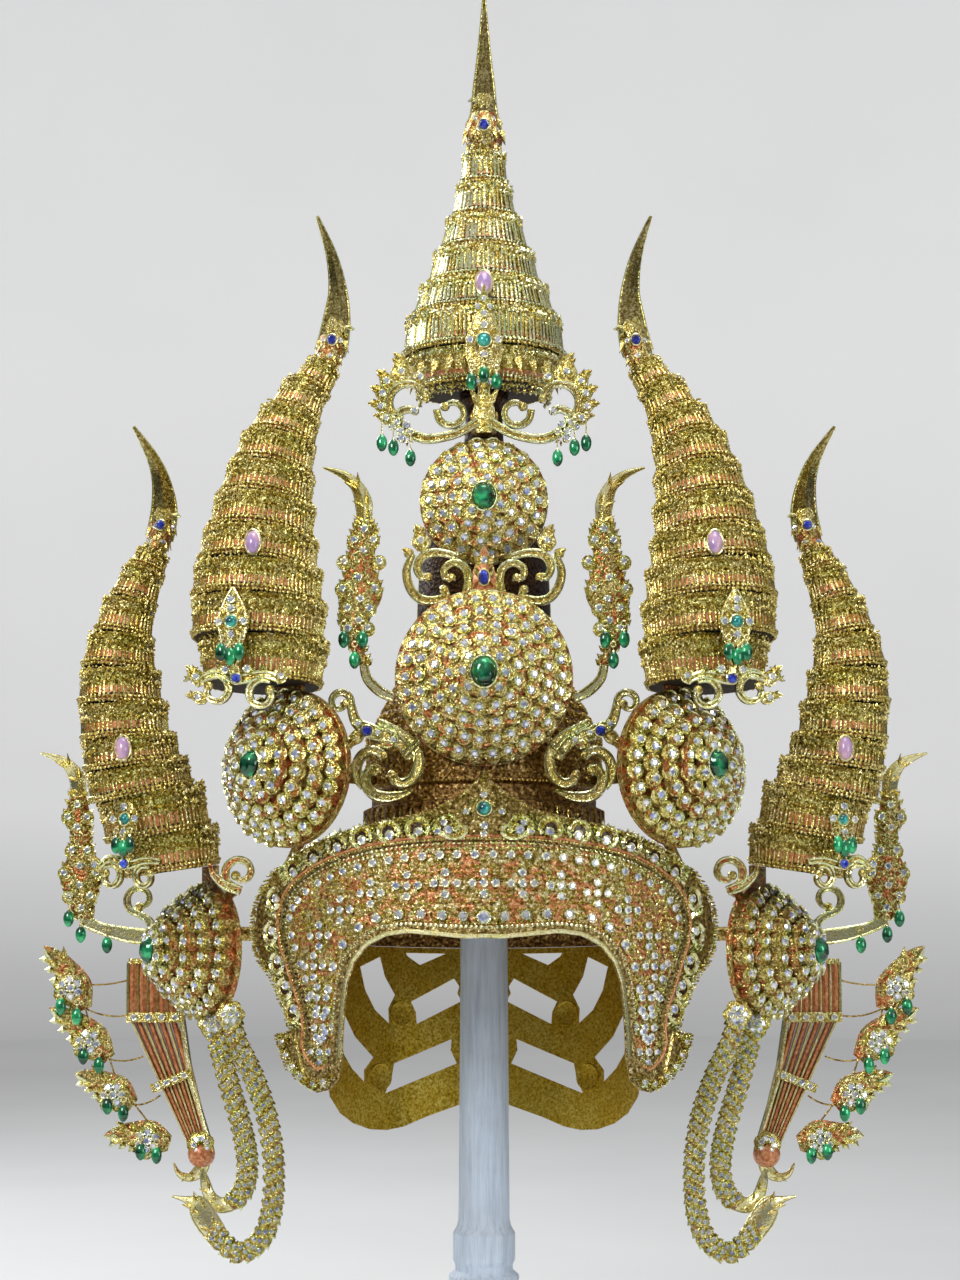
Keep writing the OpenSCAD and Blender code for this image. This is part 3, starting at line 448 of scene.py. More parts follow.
def makeSpray(kind):
    # one tuft of the chased foliage, about 5 wide and 6 tall, growing along +Y
    work = bmesh.new()
    if kind == 0:
        for aim in (-36, 0, 36):
            addLeaf(work, move(0, 0.8, 0.3) @ turn(-aim, "Z") @ move(0, 2.8, 0) @ turn(14, "X"),
                    0.95, 2.0, 1.5, "rimGold")
        addBead(work, move(0, 0.9, 0.8), 0.8)
    elif kind == 1:
        for side in (-1, 1):
            addCurl(work, (side * 1.3, 3.8, 0.7), 0.95, 0.45, -90, side * -230, 4)
        addLeaf(work, move(0, 1.6, 0.3), 0.9, 1.5, 1.3)
        addLeaf(work, move(0, 5.3, 0.3) @ turn(22, "X"), 0.9, 1.5, 1.5, "rimGold")
    else:
        addLeaf(work, move(-1.3, 2.4, 0.3) @ turn(26, "Z"), 0.9, 1.9, 1.4)
        addLeaf(work, move(1.3, 2.7, 0.3) @ turn(-26, "Z"), 0.9, 1.9, 1.2, "rimGold")
        for x, y, size in ((-0.9, 5.2, 0.75), (1.3, 5.5, 0.65), (0.1, 0.9, 0.75)):
            addBead(work, move(x, y, 0.8), size)
    return closeMesh("spray", work)


stamps = {
    # dished tongue of foil with a bright rim, its stone in a cup nearer the middle of the ring
    "petalCup": stampOf(addDisc,
                        (1, 1.06, 1.2, 10, "rimGold", move(0.9, 0, -0.8) @ grow(4.8, 4.5, 1), 0.6, -0.75,
                         "leafGold"),
                        (2.9, 2.6, 1.5, 8, "rimGold", move(-0.2, 0, -0.3), 0.45, -0.4, "oliveGold"),
                        (2.15, 1.2, 1.25, 8, "clearStone", move(-0.2, 0, 0.75))),
    "cup": clearCup(2.8, 2.15, 9),
    "smallCup": clearCup(2.2, 1.6, 8),
    "bead": stampOf(addBead, (Matrix(), 1)),
    "brightBead": stampOf(addBead, (Matrix(), 1, "rimGold")),
    # pointed leaf at the edge of a coronet, its foot at the origin
    "tip": stampOf(addLeaf, (move(0, 2.4, 0) @ turn(10, "X"), 1.5, 2.9, 1.3, "rimGold")),
    "rib": stampOf(addDisc, (0.72, 0.5, 1, 5, "leafGold")),
    "brightRib": stampOf(addDisc, (0.72, 0.5, 1, 5, "rimGold")),
    "leaf": stampOf(addLeaf, (Matrix(), 1, 2.2, 0.9)),
    "brightLeaf": stampOf(addLeaf, (Matrix(), 1, 2.2, 0.9, "rimGold")),
    # smooth bulb at the end of a scroll
    "boss": stampOf(addDisc, (2.9, 2.3, 1.1, 10, "rimGold"),
                    (2.3, 0.9, 0.8, 10, "leafGold", move(0, 0, 1.1))),
    # three small strokes of chased leaf, fanned
    "tuft": stampOf(addLeaf, *((turn(aim, "Z") @ move(0, 1.5, 0), 0.62, 1.3, 1.1, finish)
                               for aim, finish in ((-34, "leafGold"), (0, "rimGold"), (34, "leafGold")))),
    "spray0": makeSpray(0),
    "spray1": makeSpray(1),
    "spray2": makeSpray(2),
}


def anySpray():
    return "spray" + str(dice.randrange(3))


def dome(width, height, deep, finish, where, segments=20):
    # polished stone without facets
    work = bmesh.new()
    bmesh.ops.create_uvsphere(work, u_segments=segments, v_segments=12, radius=1,
                              matrix=grow(width / 2, height / 2, deep))
    bmesh.ops.bisect_plane(work, geom=work.verts[:] + work.edges[:] + work.faces[:], plane_co=(0, 0, 0),
                           plane_no=(0, 0, 1), clear_inner=True)
    bmesh.ops.holes_fill(work, edges=[e for e in work.edges if e.is_boundary], sides=0)
    paint(work, finish)
    bmesh.ops.transform(work, matrix=where, verts=work.verts[:])
    return closeMesh("dome", work)


def collar(width, height, thick, finish, where, segments=24):
    # thin ring round a stone
    work = bmesh.new()
    ring = bmesh.ops.create_circle(work, cap_ends=False, segments=6, radius=thick,
                                   matrix=move(1, 0, 0) @ turn(90, "X"))
    for vert in ring["verts"]:
        vert.co.x = 1 + (vert.co.x - 1) / (width / 2)
    bmesh.ops.spin(work, geom=work.verts[:] + work.edges[:], cent=(0, 0, 0), axis=(0, 0, 1), dvec=(0, 0, 0),
                   angle=math.tau, steps=segments, use_merge=True)
    bmesh.ops.remove_doubles(work, verts=work.verts[:], dist=0.0001)
    paint(work, finish)
    bmesh.ops.transform(work, matrix=where @ grow(width / 2, height / 2, 1), verts=work.verts[:])
    return closeMesh("collar", work)


def cutStone(width, height, deep, finish, where, segments=12):
    # girdle, two rows of facets and a table
    steps = [(0.80, 0.0), (1.0, 0.30), (0.97, 0.42), (0.80, 0.78), (0.58, 1.0)]
    rings = [where @ move(0, 0, z * deep) @ turn(180 / segments * (i % 2), "Z")
             @ grow(width / 2 * s, height / 2 * s, 1) for i, (s, z) in enumerate(steps)]
    return loft(rings, finish, segments)


def setStone(piece, size, deep, finish, where, smooth=True, bezel=0.8):
    shape = dome if smooth else cutStone
    pour(piece, shape(size[0], size[1], deep, finish, where))
    if bezel:
        pour(piece, collar(size[0] + bezel, size[1] + bezel, 0.55, "polishedGold", where @ move(0, 0, 0.35)))


def ringOf(piece, stamp, count, where, radius, height, lean=0.0, size=1.0, offset=0.0, wobble=0.0):
    # count stamps round the Z axis of a frame, their own +Z outwards by lean degrees from the axis
    for k in range(count):
        put(piece, stamp, where @ turn(360 * (k + offset) / count, "Z")
            @ move(radius + wobble * dice.uniform(-1, 1), 0, height)
            @ turn(lean, "Y") @ turn(-90 if lean > 60 else 0, "Z") @ grow(size, size, size))


# rosettes
rosettes = {
    "lower": {"z": 459, "y": -66.3, "radius": 49, "tiers": [[46, 5], [39.5, 5], [31, 5], [23, 5], [14.5, 4]],
              "gem": (13, 16), "inner": 11.8, "stones": "centre_clear_stones"},
    "upper": {"z": 562, "y": -37.9, "radius": None, "tiers": [[33.5, 5], [27.5, 5], [20.5, 4], [13, 3.5]],
              "gem": (12, 14.5), "inner": 10.6, "stones": None},
    "mid": {"z": 407, "y": 0, "radius": 43, "tiers": [[40.5, 7], [35, 7], [28.5, 6], [20.5, 5.5], [12, 4]],
            "gem": (12, 15), "inner": 10.6, "stones": "side_clear_stones"},
    "outer": {"z": 311, "y": 0, "radius": 38, "tiers": [[35.5, 8], [30, 8], [25, 7.5], [18, 7], [11, 4]],
              "gem": (11.5, 15), "inner": 10, "stones": None},
}
rosetteLook = {"base": 3.0, "pitch": 8.9, "tilt": 21, "innerTilt": 12, "leafPitch": 4.4}
sideUnits = {"mid": {"at": (113, -72), "yaw": 45}, "outer": {"at": (152, -15), "yaw": 60}}
rosetteUnits = {"mid": {"at": (104.5, -80.5), "yaw": 39}, "outer": sideUnits["outer"]}


def unitFrame(name, units=sideUnits):
    unit = units[name]
    return move(unit["at"][0], unit["at"][1], 0) @ turn(unit["yaw"], "Z")


def rosetteFrame(part):
    base = unitFrame(part, rosetteUnits) if part in sideUnits else Matrix()
    return base @ facing(0, rosettes[part]["y"], rosettes[part]["z"])


def rosetteTop(plan):
    return rosetteLook["base"] + sum(thick for radius, thick in plan["tiers"]) + 0.3


def dressRosette(piece, plan, where):
    tiers = plan["tiers"]
    high = rosetteLook["base"]
    for i, (radius, thick) in enumerate(tiers):
        high += thick
        inner = tiers[i + 1][0] if i + 1 < len(tiers) else None
        ring = (radius + inner) / 2 + 0.2 if inner else plan["inner"]
        tilt = rosetteLook["tilt" if inner else "innerTilt"]
        count = round(math.tau * ring / rosetteLook["pitch"])
        for k in range(count):
            angle = 360 * (k + 0.5 * (i % 2) + dice.uniform(-0.06, 0.06)) / count
            size = dice.uniform(0.95, 1.04)
            put(piece, "petalCup", where @ turn(angle, "Z") @ move(ring, 0, high + 0.4)
                @ turn(tilt + dice.uniform(-4, 4), "Y") @ turn(dice.uniform(-5, 5), "X")
                @ grow(size, size, 1))
        # gold leaves down the wall of each step
        count = round(math.tau * radius / rosetteLook["leafPitch"])
        for k in range(count):
            put(piece, "leaf", where @ turn(360 * (k + 0.5) / count, "Z")
                @ move(radius * 0.975, 0, high - thick * 0.5) @ turn(90, "Y") @ turn(90, "Z")
                @ grow(0.75, thick * 0.17, 1.0))
    if plan["radius"]:
        wide = 2 * plan["radius"] - 1.6
        pour(piece, collar(wide, wide, 0.8, "deepGold", where @ move(0, 0, 2.4), 72))
    wide, tall = plan["gem"]
    rim = where @ move(0, 0, rosetteTop(plan) + 0.6)
    pour(piece, collar(wide + 1.4, tall + 1.4, 0.8, "rimGold", rim, 32))


for part, plan in rosettes.items():
    work = bmesh.new()
    dressRosette(work, plan, rosetteFrame(part))
    finishPart(part, part + "RosettePetals", work, plan["stones"])
for part, plan in rosettes.items():
    work = bmesh.new()
    seat = rosetteFrame(part) @ move(0, 0, rosetteTop(plan))
    setStone(work, plan["gem"], 5.4, "greenStone", seat, False, 0)
    finishPart(part, part + "Emerald", work, part + "_stone")
print("rosettes set")


# spires: height and radius, or out, height, radius and lean
spires = {
    "centre": [[633, 40], [653, 48], [676, 42], [695, 33], [715, 26], [735, 18.5], [755, 13.5], [775, 11]],
    "mid": [[11, 453, 33, 2], [15, 477, 37, 4], [16, 498, 36.5, 5], [15.5, 517, 33.5, 8],
            [13.5, 535, 29.5, 10], [10, 554, 26, 12], [5.5, 572, 22.5, 16], [-1, 589, 19, 22],
            [-10, 605, 14.5, 28], [-22, 622, 11, 34], [-32.4, 637.4, 8.5, 34]],
    "outer": [[25, 356, 27, -10], [34, 376, 30, -12], [44, 398, 29.5, -12], [50, 413, 27.5, -8],
              [54.5, 428, 25, -4], [58, 447, 23.5, 0], [59.5, 466, 20.5, 6], [57, 485, 16, 12],
              [51, 505, 13, 20], [43.5, 523, 10, 24], [38.7, 533.9, 8, 24]],
}


def tierFrames(name):
    out = []
    for q, s in zip(spires[name], spires[name][1:]):
        if name == "centre":
            out.append((move(0, 0, q[0]), s[0] - q[0], q[1], s[1]))
        else:
            out.append((unitFrame(name) @ move(0, -q[0], q[1]) @ turn(-q[3], "X"),
                        math.hypot(s[0] - q[0], s[1] - q[1]) + 0.6, q[2], s[2]))
    return out


tierPlan = {"foot": 2.8, "bead": 2.6, "rib": 2.9, "tuft": 4.6, "tip": 5.6}
# how much of a tier is lacquered, how far up its ribs reach and how many of them are bright
tierLooks = {
    "centre": {"lacquer": 0.30, "reach": (0.62, 0.94), "bright": 0.82, "chased": "leafGold", "rolled": True},
    "mid": {"lacquer": 0.42, "reach": (0.40, 0.66), "bright": 0.5, "chased": "oliveGold", "rolled": False},
    "outer": {"lacquer": 0.42, "reach": (0.40, 0.66), "bright": 0.42, "chased": "oliveGold", "rolled": False},
}


def dressTier(piece, where, height, radius, following, look):
    crest = radius + (following - radius) * 0.62
    low, middle = tierPlan["foot"], height * look["lacquer"]
    foot = radius * 0.945
    waist = foot + (crest - foot) * 0.5 - 0.6
    # lacquered wall below, chased ground above it, and bands of painted shade under the foot and over its
    # beads
    chased = [(middle, waist), (height * 0.94, crest - 0.7), (height * 0.98, crest * 0.72)]
    shadeBand = [(2.8, foot - 0.3), (3.0, foot + 0.35), (4.1, foot + 0.3), (4.3, foot - 0.4)]
    for finish, rings in (("salmon", [(0, radius * 0.93), (low, foot), (middle, waist)]),
                          (look["chased"], chased), ("innerShade", shadeBand),
                          ("innerShade", [(-0.4, radius * 0.935), (0.2, radius * 0.935)])):
        pour(piece, ringed(where, rings, finish, 40))
    # two rows of beads round the foot, the upper one brighter
    for stamp, z, out in (("bead", 0.5, -0.2), ("brightBead", 2.3, 0.5)):
        count = round(math.tau * radius / tierPlan["bead"])
        for k in range(count):
            put(piece, stamp, where @ turn(360 * (k + dice.uniform(-0.12, 0.12)) / count, "Z")
                @ move(radius * 0.96 + out + dice.uniform(-0.3, 0.4), 0, z + dice.uniform(-0.25, 0.25))
                @ grow(1.25, 1.3, 1.2))
    # upright ribs that lean with the wall, on the tall spire with rolled heads
    lean = -math.degrees(math.atan2(foot - crest + 0.7, height * 0.94 - low))
    count = round(math.tau * radius / tierPlan["rib"])
    for k in range(count):
        long = height * dice.uniform(*look["reach"]) - low + 0.6
        put(piece, "brightRib" if dice.random() < look["bright"] else "rib",
            where @ turn(360 * (k + dice.uniform(0.1, 0.4)) / count, "Z") @ move(foot, 0, low - 0.6)
            @ turn(lean, "Y") @ grow(dice.uniform(0.9, 1.5), dice.uniform(1.1, 1.75), long))
        if look["rolled"]:
            put(piece, "brightBead", where @ turn(360 * (k + 0.25) / count, "Z")
                @ move(foot, 0, low - 0.6) @ turn(lean, "Y") @ move(0.3, 0, long) @ grow(1.15, 1.2, 1.3))
    # two rows of tufts over the chased ground, only the upper one on the tall spire
    band = (height - middle) / 2
    for row in range(1 if look["rolled"] else 0, 2):
        out = waist + (crest - waist) * (0.25 + 0.5 * row) - 0.4
        count = max(9, round(math.tau * out / tierPlan["tuft"]))
        for k in range(count):
            put(piece, anySpray(), where
                @ onWall(360 * (k + 0.5 * row + dice.uniform(-0.1, 0.1)) / count, out,
                         middle + band * row + 0.2 + dice.uniform(-0.3, 0.3))
                @ turn(dice.uniform(-12, 12), "Z") @ grow(1.0, band / 6.0, dice.uniform(0.9, 1.35)))
    # leaf tips that stand out at the edge
    count = max(8, round(math.tau * crest / tierPlan["tip"]))
    for k in range(count):
        put(piece, "tip", where
            @ onWall(360 * (k + dice.uniform(-0.1, 0.1)) / count, crest - 0.2, height * 0.78, 24)
            @ grow(1, dice.uniform(0.7, 1.05), 1))


spireFoot = {"leaves": 26, "leafRadius": 42.4, "leafHeight": 643, "tufts": 52, "frontTufts": range(24, 55),
             "fringe": ((37.4, 633.6), (36.2, 631.4))}
for part in spires:
    work = bmesh.new()
    for where, height, radius, following in tierFrames(part):
        dressTier(work, where, height, radius, following, tierLooks[part])
    if part == "centre":
        # flaring leaves round the lowest tier and a fringe of tufts under its front edge
        for k in range(spireFoot["leaves"]):
            out = spireFoot["leafRadius"] + 1.2 * (k % 2)
            put(work, "leaf", onWall(360 * (k + 0.5) / spireFoot["leaves"], out, spireFoot["leafHeight"], 17)
                @ grow(3.4, 3.7, 2.6))
        for row, (radius, z) in enumerate(spireFoot["fringe"]):
            for k in spireFoot["frontTufts"]:
                put(work, anySpray(), onWall(360 * (k + 0.5 * row) / spireFoot["tufts"], radius, z)
                    @ turn(180 + dice.uniform(-14, 14), "Z") @ grow(1.0, dice.uniform(0.8, 1.05), 1.2))
    else:
        # the side spires are less bright
        bright, warm = (list(finishes).index(finish) for finish in ("rimGold", "leafGold"))
        for face in work.faces:
            if face.material_index == bright:
                face.material_index = warm
    finishPart(part, part + "SpireFoliage", work, part + "_spire")
print("spires dressed")


# horns: height and size, or out, height and size; then collars of height, radius, leaves and size
horns = {
    "centre": [[775.3, 9.5], [781, 12], [790, 11.5], [798, 8], [815, 6.2], [833, 4], [852, 2.2], [871, 0.6]],
    "mid": [[-33.1, 638.6, 7.2], [-36.2, 643.4, 8.6], [-40, 654, 8.6], [-42.5, 668, 7.4], [-43, 684, 5],
            [-38, 703, 3], [-27, 723, 0.7]],
    "outer": [[38.1, 535.2, 6.6], [36, 540.2, 7.6], [33.5, 550, 7.8], [32.5, 562, 7], [35, 577, 4.8],
              [41, 590, 3], [52, 605, 0.7]],
}
hornCollars = {"centre": [(0, 9.6, 12, 0.9), (7, 11.3, 10, 1.15), (14, 9.4, 9, 1.0)],
               "mid": [(1, 7.4, 10, 0.8), (9, 8.2, 8, 0.95)], "outer": [(1, 6.8, 9, 0.75), (9, 7.4, 7, 0.85)]}
bladeStart = {"centre": 800, "mid": 655, "outer": 551}


def ridgedHorn(piece, points, sizes):
    # two polished faces that meet in a ridge, with a bright thread down each edge
    toFront = (0, -1, 0)
    body = stationsOf(points, [s * 0.98 for s in sizes], [s * 0.8 for s in sizes], toFront)
    pour(piece, loft(body, "hornGold", 4))
    for side in (-0.94, 0.94):
        edge = stationsOf(points, sizes, [0.3 + s * 0.07 for s in sizes], toFront, side)
        pour(piece, loft(edge, "rimGold", 5))


def hornCollar(piece, here, radius, count, size):
    for k in range(count):
        put(piece, "leaf", here @ onWall(360 * (k + 0.5) / count, radius * 0.9, 0, 30)
            @ grow(1.6 * size, 2.0 * size, 2.2 * size))
    ringOf(piece, "smallCup", count // 2 + 1, here, radius * 0.86, 1.0, 78, 0.95, 0.25)
    ringOf(piece, "bead", round(math.tau * radius / 2.4), here, radius * 0.86, -2.4)


for part, rows in horns.items():
    work = bmesh.new()
    if part == "centre":
        line = spline([[0, 0, r[0], r[1]] for r in rows], 4)
        base = Matrix()
    else:
        line = spline([[0, -r[0], r[1], r[2]] for r in rows], 4)
        base = unitFrame(part)
    points = [base @ Vector(p[:3]) for p in line]
    sizes = [p[3] for p in line]
    # the lower part is a swollen collar, and the blade starts in it
    start = next(i for i, p in enumerate(line) if p[2] > bladeStart[part])
    blade = max(0, start - 4)
    ridgedHorn(work, points[blade:], sizes[blade:])
    # pale leaf laid over the foot of the blade, and a curled barb beside it
    foot, size = points[blade + 5], sizes[blade + 5]
    put(work, "leaf", move(foot.x, foot.y - size * 0.5, foot.z) @ turn(80, "X")
        @ grow(size * 0.75, size * 0.62, size * 0.5))
    layCurls(work, facing(foot.x - size * 0.9, foot.y - size * 0.4, foot.z - size * 0.3),
             ((0, 0, 0), size * 0.34, size * 0.16, -90, 250, 5, "rimGold"))
    swell = [s * 0.9 for s in sizes[:start]]
    pour(work, loft(stationsOf(points[:start], swell, swell, (0, -1, 0)), "foliageGround", 14))
    for z, radius, count, size in hornCollars[part]:
        nearest = min(range(len(line)), key=lambda i: abs(line[i][2] - rows[0][-2] - z - 2))
        hornCollar(work, move(*points[nearest]), radius, count, size * 1.2)
    finishPart(part, part + "Horn", work, part + "_finial")
print("horns polished")


# scroll plates: each is a base frame, the y of its front and its thickness
root2 = math.sqrt(2)


def scrollRows(centre, radius, sweep, start, wide, close=0.68):
    rows = []
    for i in range(9):
        t = i / 8
        reach, angle = radius * (1 - close * t), math.radians(start + sweep * t)
        rows.append([centre[0] + reach * math.cos(angle), centre[1] + reach * math.sin(angle),
                     wide * (1 - 0.35 * t)])
    return rows


def leafRows(foot, tip, wide, bend):
    foot, tip = Vector(foot), Vector(tip)
    along = tip - foot
    across = Vector((-along.y, along.x)) * bend
    spots = [(foot, wide * 0.45), (foot + along * 0.3 + across * 0.6, wide),
             (foot + along * 0.62 + across, wide * 0.66),
             (foot + along * 0.85 + across * 0.7, wide * 0.34), (tip, 0.7)]
    return [[p.x, p.y, w] for p, w in spots]


def plateLine(plate, rows, steps=4):
    line = spline(rows, steps)
    points = [Vector((p[0], plate[1] + plate[2] / 2, p[1])) for p in line]
    return line, points, [max(p[2] / 2, 0.3) for p in line]


def onPlate(plate, x, z, lift=0.0, aim=0.0):
    return plate[0] @ facing(x, plate[1] + lift, z, aim)


def ribbon(piece, plate, rows, end=None, ground="deepGold"):
    # channelled ribbon: a lacquered floor between two raised gold edges, with a stamp at its end
    base, front, thick = plate
    line, points, halves = plateLine(plate, rows)
    wides, deeps = [h * 0.94 * root2 for h in halves], [thick * 0.32 * root2] * len(points)
    floor = stationsOf(points, wides, deeps, lift=0.5)
    pour(piece, loft([base @ s for s in floor], ground, 4, math.pi / 4))
    sizes = [min(0.95, 0.34 * h + 0.2) for h in halves]
    inset = [h - s * 0.9 for h, s in zip(halves, sizes)]
    for side in (-1, 1):
        edge = stationsOf(points, inset, sizes, side=side, lift=-thick * 0.2)
        for s in edge:
            s.col[1] *= 1.5
        pour(piece, loft([base @ s for s in edge], "rimGold", 6))
    if end:
        x, z = line[-1][:2]
        put(piece, end, onPlate(plate, x, z, thick * 0.45) @ grow(0.95, 0.95, 1.3))


def plateLeaf(piece, plate, rows, stone=True, finish="leafGold"):
    # flame leaf with a ridge, bright edges, veins and a stone near its foot
    base, front, thick = plate
    line, points, halves = plateLine(plate, rows)
    body = stationsOf(points, halves, [max(0.4, thick * 0.5 * min(1, h / 2.4)) for h in halves])
    pour(piece, loft([base @ s for s in body], finish, 4))
    inset, thin = [h * 0.88 for h in halves], [min(0.5, 0.1 + 0.2 * h) for h in halves]
    for side in (-1, 1):
        pour(piece, loft([base @ s for s in stationsOf(points, inset, thin, side=side)], "polishedGold", 5))
    along = Vector(rows[-1][:2]) - Vector(rows[0][:2])
    aim = math.degrees(math.atan2(along.y, along.x)) - 90
    spread = max(r[2] for r in rows) / 2
    for k in range(3 if along.length > 12 else 2):
        x, z = line[int(len(line) * (0.22 + 0.2 * k))][:2]
        for side in (-1, 1):
            put(piece, "leaf", onPlate(plate, x, z, 0.7, aim) @ move(side * spread * 0.42, 0, 0)
                @ turn(-side * 28, "Z") @ grow(spread * 0.2, along.length * 0.055, 1.3))
    if stone:
        x, z = line[int(len(line) * 0.33)][:2]
        put(piece, "cup", onPlate(plate, x, z, thick * 0.3) @ grow(0.9, 0.9, 1.2))


def layPlate(piece, plan):
    # what a plate's dictionary lists; hooks and curls end in a boss
    plate, ground = plan["plate"], plan.get("ground", "deepGold")
    for rows in plan.get("ribbons", []):
        ribbon(piece, plate, rows, None, ground)
    for rows in plan.get("hooks", []) + [scrollRows(*spec) for spec in plan.get("curls", [])]:
        ribbon(piece, plate, rows, "boss", ground)
    for key, stone in (("leaves", True), ("bareLeaves", False)):
        for spec in plan.get(key, []):
            plateLeaf(piece, plate, leafRows(*spec), stone)
    for rows in plan.get("blades", []):
        plateLeaf(piece, plate, rows, False)
    # small stones: lift, size and their places
    for lift, size, spots in plan.get("cups", []):
        for x, z in spots:
            put(piece, "cup", onPlate(plate, x, z, lift) @ grow(*size))
    # wreaths of small leaves: lift, middle, count, radius and size
    for lift, (x, z), count, offset, out, size in plan.get("wreaths", []):
        for k in range(count):
            put(piece, "leaf", onPlate(plate, x, z, lift, 360 * (k + offset) / count)
                @ move(0, out, 0) @ grow(*size))


# wings at the foot of the centre spire, and the tall leaf between them
wings = {
    "plate": (Matrix(), -52.6, 4),
    "ribbons": [[[3, 606, 5], [10, 601.5, 5], [20, 597.5, 5], [34, 596, 5.5], [45, 602, 5], [51, 611, 5]]],
    "curls": [((42, 617), 11.8, 238, -68, 5.6, 0.2), ((18, 611), 8.6, -330, 10, 4.4, 0.42)],
    "leaves": [((46, 627), (50.5, 645), 13, 0.12), ((52, 624), (60.5, 635), 9, 0.1),
               ((53.5, 618), (64, 625.5), 8.5, 0.1), ((53.5, 612), (65, 616), 8, 0.1),
               ((51, 605.5), (62, 609), 7.5, 0.1), ((37, 627), (32, 637), 7, -0.1)],
    "cups": [(0.4, (0.88, 0.88, 1), [(46.5, 600), (41.5, 599.5), (51, 602.5), (48.6, 605.2), (43.6, 603.6),
                                     (46.4, 595.8)])],
    "wreaths": [(0.8, (43, 595.5), 6, 0, 2.4, (0.8, 0.9, 1.5))],
}
tallLeaf = {
    "plate": wings["plate"],
    "blades": [[[0, 599.5, 9], [0, 612, 12], [0, 624, 6.5], [0, 634, 15], [0, 645, 21], [0, 657, 18],
                [0, 669, 9], [0, 684, 1]]],
    "cups": [(0.2, (1.0, 1.0, 1.3), [(0, 660.5), (0, 643.5), (-8, 652), (8, 652)]),
             (0.2, (0.9, 0.9, 1.3), [(0, 667), (0, 634)]),
             (0.2, (0.8, 0.8, 1.3), [(-3.5, 671), (3.5, 671), (0, 675.5), (-4, 628), (4, 628)])],
    "wreaths": [(0.6, (0, 652), 12, 0.5, 7.4, (1.2, 1.2, 1.6))],
}
work, half = bmesh.new(), bmesh.new()
layPlate(half, wings)
ribbon(half, wings["plate"], [[50, 607.5, 4.6], [47, 611, 4.6], [42.5, 612.8, 4.4], [38.8, 611.6, 3.8]],
       "cup")
mirrorInto(work, half)
layPlate(work, tallLeaf)
pour(work, ringed(facing(0, 0, 609.5), [(11.7, 8, 5), (48, 8, 5)], "deepGold", 12))
finishPiece("upperWings", work, ["upper_scrolls"])

# scrolls between the two middle rosettes
middle = {
    "plate": (Matrix(), -66, 4),
    "hooks": [[[14.6, 526.7, 3.6], [24.6, 529, 4.8], [33, 527.5, 5], [37, 521.5, 4.8], [35, 516, 4.4],
               [30.8, 515.5, 4]],
              [[39.4, 528.3, 3.5], [42.8, 518.9, 4.8], [40.9, 509.5, 5.2], [35.5, 503.3, 5.2],
               [27.8, 502.1, 5], [21, 504.6, 4.4], [22, 508.6, 3.8]],
              [[10, 506, 4.6], [8.6, 514, 4.6], [10.5, 520.5, 4.6], [16.1, 523.4, 4.4], [21.6, 520.5, 4.2],
               [21.5, 515.6, 4], [18, 515, 3.6]]],
    "leaves": [((34.5, 530), (38.4, 545), 11, 0.1)],
    "bareLeaves": [((40, 527), (45.5, 531), 6, 0.1)],
}
work, half = bmesh.new(), bmesh.new()
layPlate(half, middle)
mirrorInto(work, half)
plateLeaf(work, middle["plate"], leafRows((0, 499), (0, 533), 17, 0), False, "salmon")
for x, z in ((-6.5, 503), (6.5, 503), (0, 504.6), (0, 524.5)):
    put(work, "petalCup", onPlate(middle["plate"], x, z, 0.4, -90) @ grow(0.85, 0.85, 1.1))
for x, z, aim in ((-3.6, 519, 30), (3.6, 519, -30), (-4.6, 511, 150), (4.6, 511, -150)):
    put(work, "leaf", onPlate(middle["plate"], x, z, 0.4, aim) @ grow(1.0, 1.5, 1.8))
finishPiece("middleScrolls", work, ["middle_scrolls"])

# scroll fronts of the side spires
frontFrames = {"mid": (move(121, -80, 0) @ turn(12, "Z"), -40.6),
               "outer": (move(174, -27.5, 0) @ turn(27, "Z"), -41.2)}
scrollFronts = {
    "mid": {"plate": (frontFrames["mid"][0], frontFrames["mid"][1] - 3.4, 4),
            "ribbons": [[[-22, 450, 4], [-12, 453, 5], [2, 451, 6], [14, 455, 5], [25, 449, 3]]],
            "curls": [((14, 445.5), 9, 330, 60, 4.6, 0.5), ((-12, 442.5), 9, -330, 120, 4.6, 0.5)],
            "leaves": [((22, 448), (31, 459), 8, 0.1), ((19, 439.5), (31, 443), 7, 0.1),
                       ((-19, 449), (-29, 456), 8, -0.1)],
            "blades": [[[4, 450, 9], [5, 462, 6], [5, 472, 13], [5, 482, 18], [5, 491, 13], [5, 501, 1]]],
            "cups": [(0, (0.95, 0.95, 1.3), [(5, 475), (5, 489), (-2, 482), (12, 482), (5, 494), (1, 468),
                                             (9, 468), (-4, 456), (8, 456)])],
            "wreaths": [(0.4, (5, 482), 12, 0.5, 6.4, (1.2, 1.2, 1.7))],
            "sprays": [(-20, 452, 40), (-12, 454, 10), (-6, 452, -20), (12, 456, 20), (20, 454, -30),
                       (27, 451, -60)]},
    "outer": {"plate": (frontFrames["outer"][0], frontFrames["outer"][1] - 4, 4),
              "ribbons": [[[-20, 357, 3], [-10, 358, 4.6], [2, 356, 5], [12, 360, 4.6], [20, 355, 3]]],
              "curls": [((12, 350), 7.5, 330, 60, 4, 0.5), ((-10, 349), 7, -330, 120, 4, 0.5)],
              "leaves": [((19, 353), (27, 362), 7, 0.1)],
              "blades": [[[2, 355, 8], [2, 366, 6], [2, 375, 12], [2, 383, 14], [2, 390.5, 5]]],
              "cups": [(0, (0.9, 0.9, 1.3), [(2, 374), (2, 388), (-5, 381), (9, 381), (-2, 368), (6, 368)])],
              "wreaths": [(0.4, (2, 381), 10, 0.5, 5.8, (1.1, 1.1, 1.7))],
              "sprays": []},
}
